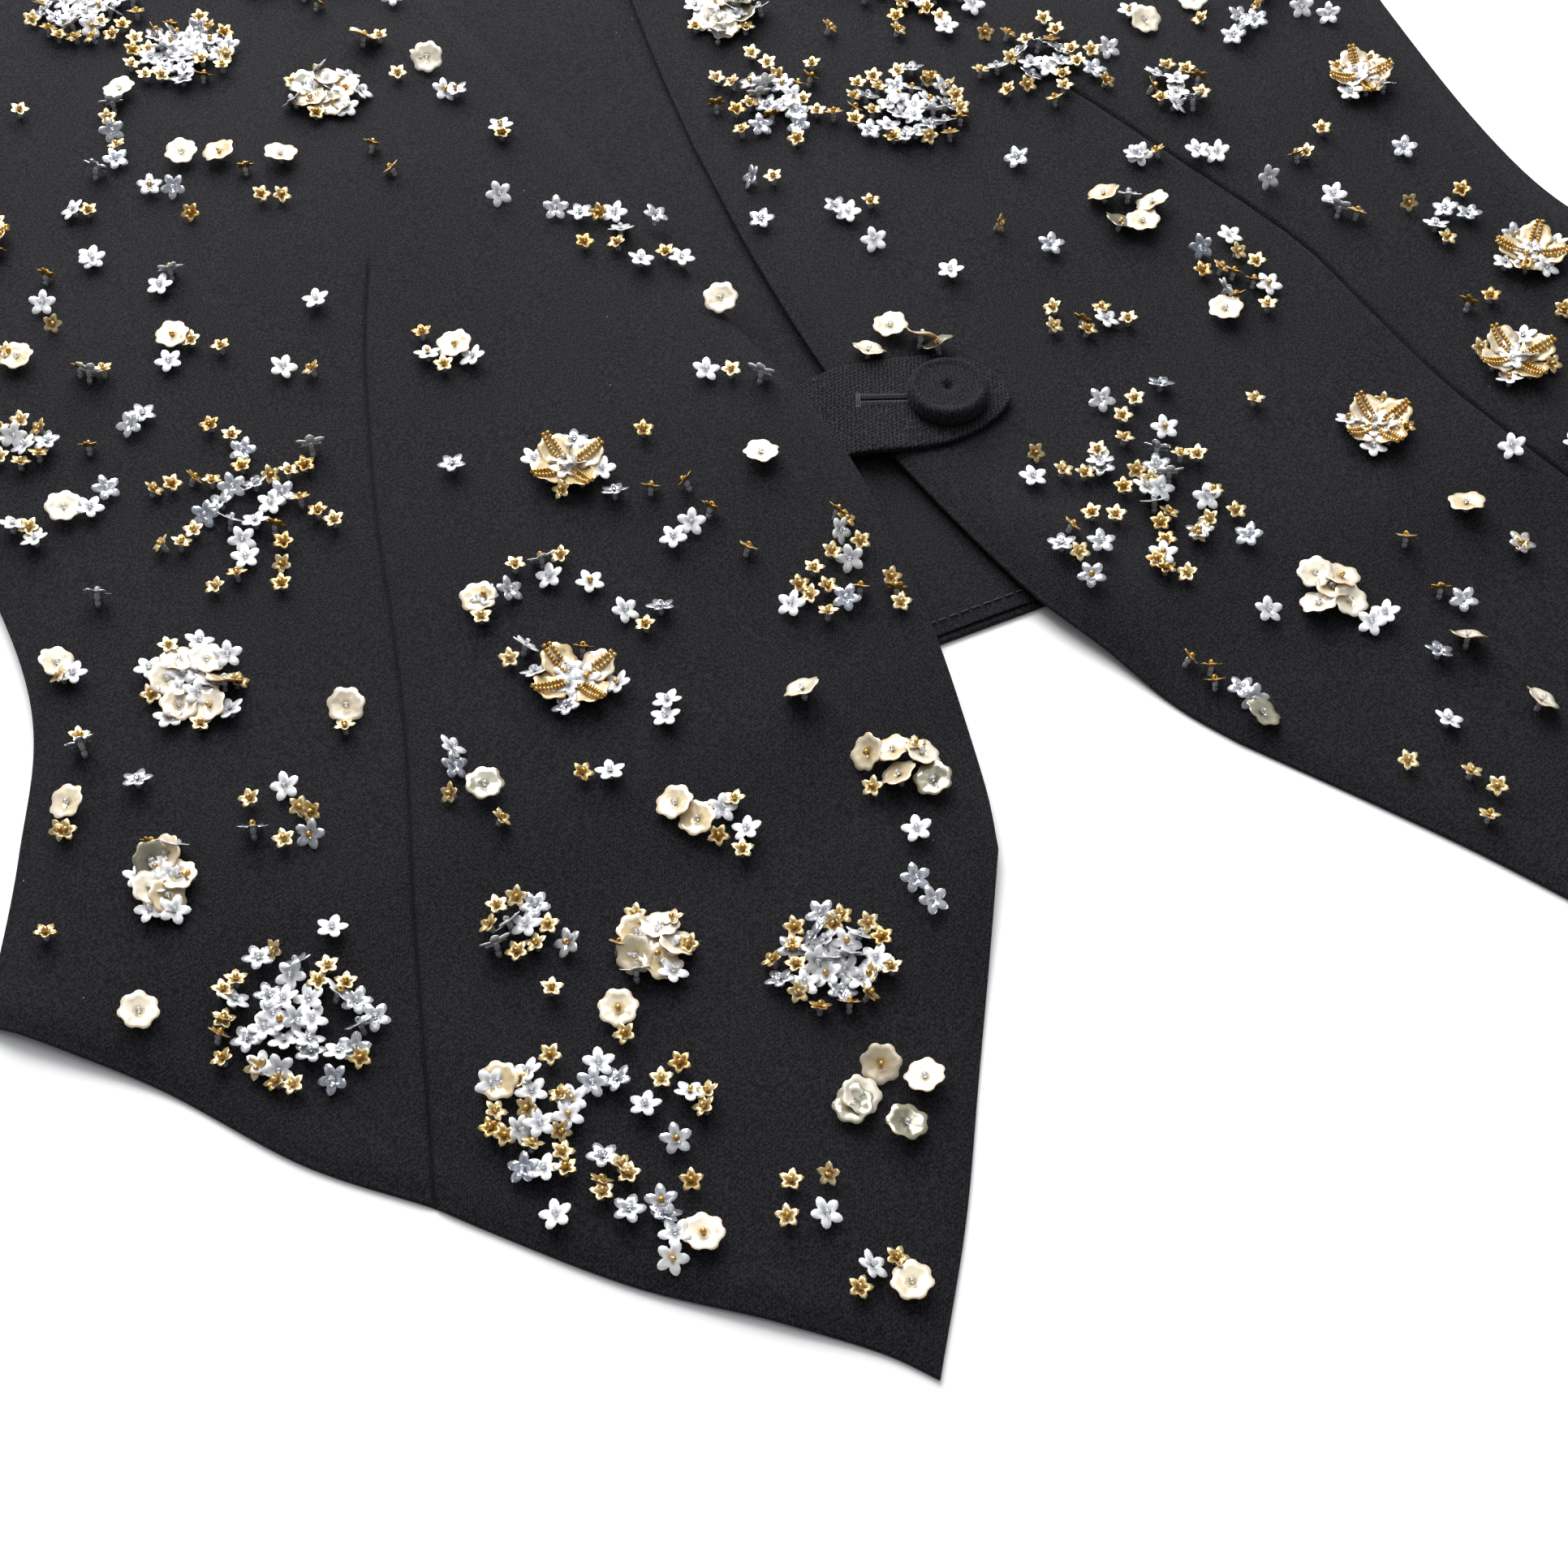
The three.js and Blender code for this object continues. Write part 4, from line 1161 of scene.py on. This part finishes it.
# %% Rings and mixtures
def fit(length, room):
    """How many sequins fit along a length, if each needs so much room, in mm."""
    return int(length / room)


def ring(count, radius, start=0.0, loose=0.03):
    """Places round a circle, each moved a little by chance."""
    t = start + 2 * np.pi * np.arange(count) / count + chance.normal(0, loose, count)
    r = radius + chance.normal(0, loose, count)
    return np.stack([r * np.cos(t), r * np.sin(t)], axis=1)


def mixed(kinds, weights, places):
    """Places shared out by chance between kinds of sequin."""
    drawn = chance.choice(kinds, len(places), p=weights)
    return [(kind, places[drawn == kind]) for kind in kinds]


# %% [markdown]
# ## Six kinds of flower
#
# A recipe returns (kind of sequin, places) pairs. Its numbers are shares of the
# flower's radius, shares of a mixture, and the room for one sequin in mm: about 5 for
# the small ones and 7 where discs lie over each other.


# %% Recipes
COIL_START, COIL_OUT, COIL_TILT = 0.6, 0.58, np.radians(20)


def wreath(reach):
    """Gold round the rim, clear stars inside it and white ones in the middle."""
    rim = ring(fit(5.4 * reach, 4.9), 0.9, loose=0.07)
    inner = ring(fit(3.9 * reach, 5.2), 0.64, loose=0.09)
    heart = np.vstack([ring(7, 0.33, loose=0.05), ring(2, 0.1)])
    return [
        *mixed(["gold", "blue"], [0.85, 0.15], rim),
        *mixed(["gold", "blue", "white"], [0.35, 0.35, 0.3], inner),
        ("white", heart),
    ]


def sun(reach):
    """A white heart, and seven wavy rays of gold flowers."""
    rays, count = [], 7
    for k in range(count):
        out = np.arange(0.42, 1.02, 4.6 / reach)
        t = 2 * np.pi * k / count + 0.25 * np.sin(5 * out + k) + chance.normal(0, 0.05)
        rays.append(np.stack([out * np.cos(t), out * np.sin(t)], axis=1))
    return [
        *mixed(["gold", "blue", "white"], [0.76, 0.12, 0.12], np.vstack(rays)),
        *mixed(["white", "blue"], [0.6, 0.4], ring(6, 0.24)),
    ]


def rosette(reach):
    """Large discs like petals round a few white stars."""
    petals = ring(max(5, fit(4.0 * reach, 7.0)), 0.6)
    return [
        *mixed(["disc", "grey"], [0.85, 0.15], petals),
        ("white", ring(5, 0.32)),
        *mixed(["gold", "white"], [0.4, 0.6], ring(fit(5.8 * reach, 7.0), 0.98)),
    ]


def coil_flower(reach):
    """Four discs like leaves, each under two rows of gold beads that run outwards,
    with stars between them and in the middle."""
    leaves = ring(4, COIL_OUT, COIL_START, 0.01)
    between = ring(4, 0.85, COIL_START + np.pi / 4)
    return [
        ("couched", leaves),
        *mixed(["white", "blue", "gold"], [0.5, 0.2, 0.3], between),
        ("white", ring(3, 0.22)),
    ]


def loop(reach):
    """A small ring of mixed blossoms."""
    return [
        *mixed(["gold", "white", "blue"], [0.5, 0.3, 0.2], ring(fit(5.0 * reach, 5.0), 0.75)),
        ("white", ring(2, 0.2)),
    ]


def branch(reach):
    """A bent twig of small flowers with a disc at its end."""
    out = np.arange(-0.95, 0.9, 4.8 / reach)
    aside = 0.35 * np.sin(2.4 * out) + chance.normal(0, 0.1, len(out))
    places = np.stack([out, aside], axis=1)
    return [
        *mixed(["gold", "blue", "white"], [0.5, 0.25, 0.25], places),
        ("disc", np.array([(1.0, 0.3)])),
    ]


# %% [markdown]
# ## The large flowers of the photo
#
# A flower is listed by its recipe, its front, and its middle, width and height in
# photo pixels. The rays through its middle, its side and its top give its place and
# two half axes on the cloth.

# %% Gather every sequin
FLOWERS = [
    (sun, "right_front", 300, 620, 235, 215),
    (rosette, "right_front", 238, 840, 118, 102),
    (coil_flower, "right_front", 700, 573, 100, 72),
    (coil_flower, "right_front", 708, 835, 125, 80),
    (rosette, "right_front", 200, 1080, 60, 90),
    (loop, "right_front", 637, 1140, 95, 90),
    (rosette, "right_front", 805, 1165, 90, 78),
    (wreath, "right_front", 1025, 1180, 150, 125),
    (wreath, "right_front", 357, 1258, 205, 180),
    (coil_flower, "left_front", 1697, 523, 85, 66),
]

sewn = []  # kind, front, and plan points
coils = []  # front, middle and half axes of each flower that gets rows of beads


def plant(recipe, name, middle, half_wide, half_high):
    """Stretch a recipe's circle over two half axes on a front, and note its places."""
    reach = (np.linalg.norm(half_wide) + np.linalg.norm(half_high)) / 2
    for kind, places in recipe(reach):
        if len(places):
            sewn.append((kind, name, middle + places @ np.stack([half_wide, half_high])))
    if recipe is coil_flower:
        coils.append((name, middle, half_wide, half_high))


for (name, kind), pixels in SINGLES.items():
    sewn.append((kind, name, on_front(name, pixels)))
for recipe, name, px, py, wide, high in FLOWERS:
    marks = on_front(name, [(px, py), (px + wide / 2, py), (px, py - high / 2)])
    plant(recipe, name, marks[0], marks[1] - marks[0], marks[2] - marks[0])
print("sequins in the photo's part:", sum(len(xy) for _, _, xy in sewn))

# %% [markdown]
# ## The rest of the meadow
#
# The photo shows only the middle of the garment. The rest is sewn in the same way:
# places are drawn by chance and kept where they are inside the front, clear of its
# edges and far enough from those kept before. First come large flowers, then small
# groups between them.


# %% Tests for a place
CROP = np.array([(193, 234), (1739, 1932)])  # the photo's own part of its white page


def in_photo(name, xy):
    """True where a sequin would be inside the photo: its pixel is in the crop."""
    at = np.column_stack([xy, front_top(name, xy) + STAND]) - EYE
    pixel = FOCAL_PX * np.stack([at @ RIGHT, -(at @ OVER)], axis=1) / (at @ AHEAD)[:, None]
    pixel = pixel + PHOTO_CENTRE
    return np.all((pixel > CROP[0]) & (pixel < CROP[1]), axis=1)


def inside(outline, xy):
    """True inside an outline: a line to the right crosses it an odd number of times."""
    x, y = xy[:, :1], xy[:, 1:]
    x0, y0 = outline.T
    x1, y1 = np.roll(outline, -1, axis=0).T
    cuts = (y0 > y) != (y1 > y)
    at = x0 + (x1 - x0) * (y - y0) / np.where(cuts, y1 - y0, 1)
    return np.sum(cuts & (x < at), axis=1) % 2 == 1


def gap(xy, marks):
    """Each point's distance to the nearest of some marks."""
    return np.min(np.linalg.norm(xy[:, None] - marks[None], axis=2), axis=1)


def spread(name, tries, room, apart, taken):
    """Places drawn over a front, one kept if room is left to the outline and apart
    to all that are taken."""
    outline = outlines[name]
    drawn = chance.uniform(outline.min(axis=0), outline.max(axis=0), (tries, 2))
    drawn = drawn[inside(outline, drawn) & (gap(drawn, outline) > room)]
    drawn = drawn[~in_photo(name, drawn)]
    kept = []
    for place in drawn:
        if gap(place[None], taken)[0] > apart:
            kept.append(place)
            taken = np.vstack([taken, place])
    return kept, taken


# %% [markdown]
# ## Large flowers first, then small groups
#
# A large flower's size is the mean of its half axes, and it is a little flatter than a
# circle. A small group is one to three sequins. What reaches back into the photo's
# part, or over an edge, is left out again.

# %% Sew what the photo doesn't show
RADII = {wreath: 17, sun: 22, rosette: 10, coil_flower: 10, loop: 10, branch: 16}  # mm
LARGE = dict(tries=1200, room=19, apart=33)
SMALL = dict(tries=1500, room=8, apart=15)
SIZE_VARIES, FLATTER, NEAR_MM, MOST = (0.9, 1.1), 0.85, 5.2, 3
SMALL_KINDS, SMALL_SHARES = ["gold", "white", "blue", "disc"], [0.42, 0.26, 0.2, 0.12]

for name, outline in outlines.items():
    taken = np.vstack([xy for _, n, xy in sewn if n == name])
    first = len(sewn)
    large, taken = spread(name, taken=taken, **LARGE)
    for place in large:
        recipe = list(RADII)[chance.integers(len(RADII))]
        size = RADII[recipe] * chance.uniform(*SIZE_VARIES)
        turn = chance.uniform(0, 2 * np.pi)
        axes = size * np.array([(np.cos(turn), np.sin(turn)), (-np.sin(turn), np.cos(turn))])
        plant(recipe, name, place, axes[0], FLATTER * axes[1])
    reached = np.vstack([taken] + [xy for _, _, xy in sewn[first:]])
    small, _ = spread(name, taken=reached, **SMALL)
    for place in small:
        near = place + chance.normal(0, NEAR_MM, (chance.integers(1, MOST + 1), 2))
        near[0] = place
        groups = mixed(SMALL_KINDS, SMALL_SHARES, near)
        sewn.extend((kind, name, xy) for kind, xy in groups if len(xy))
    sewn[first:] = [
        (kind, name, xy[~in_photo(name, xy) & inside(outline, xy)])
        for kind, _, xy in sewn[first:]
    ]
print("sequins over both fronts:", sum(len(xy) for _, _, xy in sewn))

# %% [markdown]
# ## Turning and placing many copies
#
# A sequin's place is a point and its lie is a turn, which is a 3 by 3 array. All
# copies of one shape are worked out at once, by one product of arrays, and become one
# piece. Separate objects would be slow to draw and to export.


# %% Helpers that sew
def unit(rows):
    """Each row divided by its length."""
    return rows / np.linalg.norm(rows, axis=-1, keepdims=True)


def basis(axis, spin):
    """Turns that take z to each axis, after a spin about it, as 3 by 3 arrays."""
    side = unit(np.cross(axis, (0.31, 0.9, 0.23)))  # any direction no axis lies along
    other = np.cross(axis, side)
    first = np.cos(spin)[:, None] * side + np.sin(spin)[:, None] * other
    return np.stack([first, np.cross(axis, first), axis], axis=-1)


def leaning(tilt, towards):
    """Unit vectors at an angle from z, leaning towards a compass direction."""
    flat = np.sin(tilt)
    return np.stack([flat * np.cos(towards), flat * np.sin(towards), np.cos(tilt)], axis=1)


SHADES = (1.2, 1.6)  # a beta distribution: few are at either end


def scatter(name, shape, turns, at, finish, stretch=(1, 1, 1)):
    """Copies of a shape, each turned, stretched and moved: one product of arrays."""
    points, quads, out = shape
    local = points[None] * np.broadcast_to(stretch, (len(at), 3))[:, None]
    world = np.einsum("nij,nmj->nmi", turns, local) + at[:, None]
    faces = quads[None] + (np.arange(len(at)) * len(points))[:, None, None]
    shade = np.repeat(chance.beta(*SHADES, len(at)), len(points))
    facts = dict(shade=shade, out=np.tile(out, len(at)))
    return piece(name, world.reshape(-1, 3), [faces.reshape(-1, 4)], finish, **facts)


# %% [markdown]
# ## How a sequin sways
#
# Most sequins tilt a little on their beads. About one small one in eight stands on
# edge, leaning up the garment, and shows its stem of beads. The discs of a coil
# flower lean to its middle.

# %% Tilts and directions
TILT_SPREAD, TILT_LEAST = 20, 4  # degrees
EDGE_ON_SHARE, EDGE_ON_TILT = 0.13, (42, 75)
EDGE_ON_WAY, EDGE_ON_SPREAD = np.pi / 2 + AZIMUTH, 0.6  # radians


def sway(kind, xy):
    """Each sequin's tilt from z, and the compass direction it leans in."""
    count = len(xy)
    tilt = np.radians(np.abs(chance.normal(0, TILT_SPREAD, count)) + TILT_LEAST)
    on_edge = chance.random(count) < EDGE_ON_SHARE * (REACH[kind] < REACH["disc"])
    tilt = np.where(on_edge, np.radians(chance.uniform(*EDGE_ON_TILT, count)), tilt)
    towards = chance.uniform(0, 2 * np.pi, count)
    if kind == "couched":
        tilt = np.full(count, COIL_TILT)
        middles = np.stack([middle for _, middle, _, _ in coils])
        nearest = np.linalg.norm(xy[:, None] - middles, axis=2).argmin(axis=1)
        inwards = middles[nearest] - xy
        towards = np.arctan2(inwards[:, 1], inwards[:, 0])
    edge_on_way = EDGE_ON_WAY + chance.normal(0, EDGE_ON_SPREAD, count)
    return tilt, np.where(on_edge, edge_on_way, towards)


# %% [markdown]
# ## Sewing them on
#
# The stem leans half as far as its sequin, and is long enough to keep the lowest
# petal off the cloth. Its foot is sunk a little into the cloth, and more where the
# cloth thins out at an edge, so no bead hangs in the air.

# %% Make all sequins and beads
FOOT_SUNK = 0.35  # the thread pulls the lowest bead a little into the cloth
MOST_LEAN, PETAL_SHARE, PETAL_ROOM = np.radians(22), 0.9, 0.2
LOOSE_MM, STEM_SHORT, TOP_BEAD_UP, GILT_SHARE = 0.5, 0.05, 0.85, 0.15
stems, tops = [], {"glass": [], "gilt": []}
for kind, reach in REACH.items():
    groups = [(name, xy) for k, name, xy in sewn if k == kind and len(xy)]
    xy = np.vstack([g for _, g in groups])
    ground = np.concatenate([front_top(name, g) for name, g in groups])
    to_edge = np.concatenate([gap(g, outlines[name]) for name, g in groups])
    sunk = FOOT_SUNK + EDGE_ROLL * bell(to_edge, EDGE_ROLL_REACH)
    tilt, towards = sway(kind, xy)
    count, lean = len(xy), np.minimum(tilt / 2, MOST_LEAN)
    high = np.maximum(STAND * np.cos(lean), reach * np.sin(tilt) * PETAL_SHARE + PETAL_ROOM)
    high = high + chance.uniform(0, LOOSE_MM, count)
    way = np.stack([np.cos(towards), np.sin(towards)], axis=1)
    foot = np.column_stack([xy - (np.tan(lean) * high)[:, None] * way, ground - sunk])
    centre, axis = np.column_stack([xy, ground + high]), leaning(tilt, towards)
    spin = chance.uniform(0, 2 * np.pi, count)
    scatter(kind + "_sequins", SHAPES[kind], basis(axis, spin), centre, FINISHES[kind])
    length = np.linalg.norm(centre - foot, axis=1) - STEM_SHORT
    stems.append((unit(centre - foot), foot, length))
    gilt = np.full(count, kind == "gold") | (chance.random(count) < GILT_SHARE)
    across = basis(axis, chance.uniform(0, 2 * np.pi, count))[:, :, 0]
    bead_at = centre + TOP_BEAD_UP * axis
    if kind != "couched":
        tops["gilt"].append((across[gilt], bead_at[gilt]))
        tops["glass"].append((across[~gilt], bead_at[~gilt]))

axis, foot, length = (np.concatenate(column) for column in zip(*stems))
turns = basis(axis, np.zeros(len(axis)))
stretch = np.column_stack([np.ones((len(axis), 2)), length])
scatter("stem_beads", STEM_BEADS, turns, foot, FINISHES["glass"], stretch)
for finish, columns in tops.items():
    axis, at = (np.concatenate(column) for column in zip(*columns))
    turns = basis(axis, np.zeros(len(at)))
    scatter(finish + "_top_beads", TOP_BEAD, turns, at, FINISHES[finish])
print("sequins in all:", len(foot))

# %% [markdown]
# ## Rows of gold beads
#
# On the richest flowers each disc is held by two rows of tiny gold beads, laid from
# the flower's middle outwards. They follow the disc's cup, so their height is a
# square of the distance from its hole.

# %% Make the rows of beads
ROW_START, ROW_LENGTH, ROW_ASIDE, ROW_BULGE = -3.4, 7.2, 0.65, 0.25  # mm about the hole
ROW_UP, ROW_CUP, ROW_BEADS = 0.9, 0.55, 9
axes, places = [], []
q = np.linspace(0, 1, ROW_BEADS)
for name, middle, half_wide, half_high in coils:
    for t in COIL_START + np.arange(4) * np.pi / 2:
        local_reach = np.linalg.norm(np.cos(t) * half_wide + np.sin(t) * half_high)
        for row in (-1, 1):
            out = COIL_OUT + (ROW_START + ROW_LENGTH * q) / local_reach
            aside = row * (ROW_ASIDE + ROW_BULGE * np.sin(np.pi * q)) / local_reach
            a = out * np.cos(t) - aside * np.sin(t)
            b = out * np.sin(t) + aside * np.cos(t)
            xy = middle + a[:, None] * half_wide + b[:, None] * half_high
            bow = STAND + ROW_UP + ROW_CUP * (2 * q - 1) ** 2
            bow = bow + (out - COIL_OUT) * local_reach * np.tan(COIL_TILT)
            path = np.column_stack([xy, front_top(name, xy) + bow])
            axes.append(unit(np.gradient(path, axis=0)))
            places.append(path)
axes, places = np.concatenate(axes), np.concatenate(places)
turns = basis(axes, np.zeros(len(axes)))
scatter("tiny_gold_beads", TINY_BEAD, turns, places, FINISHES["gilt"])

# %% [markdown]
# ## The pieces sewn on
#
# Each cloth piece was flat before it was sewn. The pieces sewn onto the fronts, the
# sequins of each kind and their beads, are listed here by name.

# %% Name the pieces sewn on
SEWN_ON = [name + "_sequins" for name in REACH]
SEWN_ON += ["stem_beads", "glass_top_beads", "gilt_top_beads", "tiny_gold_beads"]

# %% [markdown]
# ## Table and light
#
# The garment lies on a white table. Its light is soft and comes from the far side, so
# the near faces of the edges are dark. Sizes are in metres here.

# %% Set the table and the lights
TABLE_HALF, TABLE_LOW = 1.4, 0.00005  # just under the cloth, so that faces don't coincide
AIM = (0, 0.1, 0)
ROOM_LIGHT, ROOM_SEEN = 0.28, 0.6


def soft_light(name, at, size, watts):
    """A square white area light at a place, facing the garment."""
    lamp = bpy.data.lights.new(name, "AREA")
    lamp.energy = watts
    lamp.size = size
    obj = bpy.data.objects.new(name, lamp)
    obj.location = at
    obj.rotation_euler = (Vector(at) - Vector(AIM)).to_track_quat("Z", "Y").to_euler()
    bpy.context.scene.collection.objects.link(obj)


corners = [
    (side * TABLE_HALF, end * TABLE_HALF, -TABLE_LOW)
    for side, end in ((-1, -1), (1, -1), (1, 1), (-1, 1))
]
mesh = bpy.data.meshes.new("table")
mesh.from_pydata(corners, [], [(0, 1, 2, 3)])
painted = new_material("white_table", Base_Color=colour("#f6f6f6"), Roughness=0.8)[0]
mesh.materials.append(painted)
table = bpy.data.objects.new("table", mesh)
bpy.context.scene.collection.objects.link(table)

soft_light("key_from_far_side", (0.1, 0.76, 0.64), 1.0, 21)
soft_light("overhead", (0.1, 0.3, 2.2), 2.4, 20)
world = bpy.data.worlds.new("pale_room")
world.use_nodes = True
room = world.node_tree
background = room.nodes["Background"]
background.inputs["Color"].default_value = colour("#f2f4f8")
# the camera sees a paler room than the one that lights the cloth
seen = node(room, "LightPath").outputs["Is Camera Ray"]
strength = node(room, "Math", "MULTIPLY_ADD", in0=seen, in1=ROOM_SEEN, in2=ROOM_LIGHT)
room.links.new(strength.outputs[0], background.inputs["Strength"])
bpy.context.scene.world = world
print("table and lights set")

# %% [markdown]
# ## Camera
#
# The camera looks down at 54 degrees, 25 degrees from straight ahead, with a long
# lens, as in the photo. The rays that placed the sequins start from the same eye.

# %% Set the camera
lens = bpy.data.cameras.new("camera")
lens.sensor_width = SENSOR_MM
lens.lens = LENS_MM
camera = bpy.data.objects.new("camera", lens)
camera.location = EYE * MM
camera.rotation_euler = (np.pi / 2 - ELEVATION, 0, AZIMUTH)
bpy.context.scene.collection.objects.link(camera)
bpy.context.scene.camera = camera
bpy.context.scene.view_settings.view_transform = "Standard"
print("camera at", np.round(EYE), "mm, lens", LENS_MM, "mm")
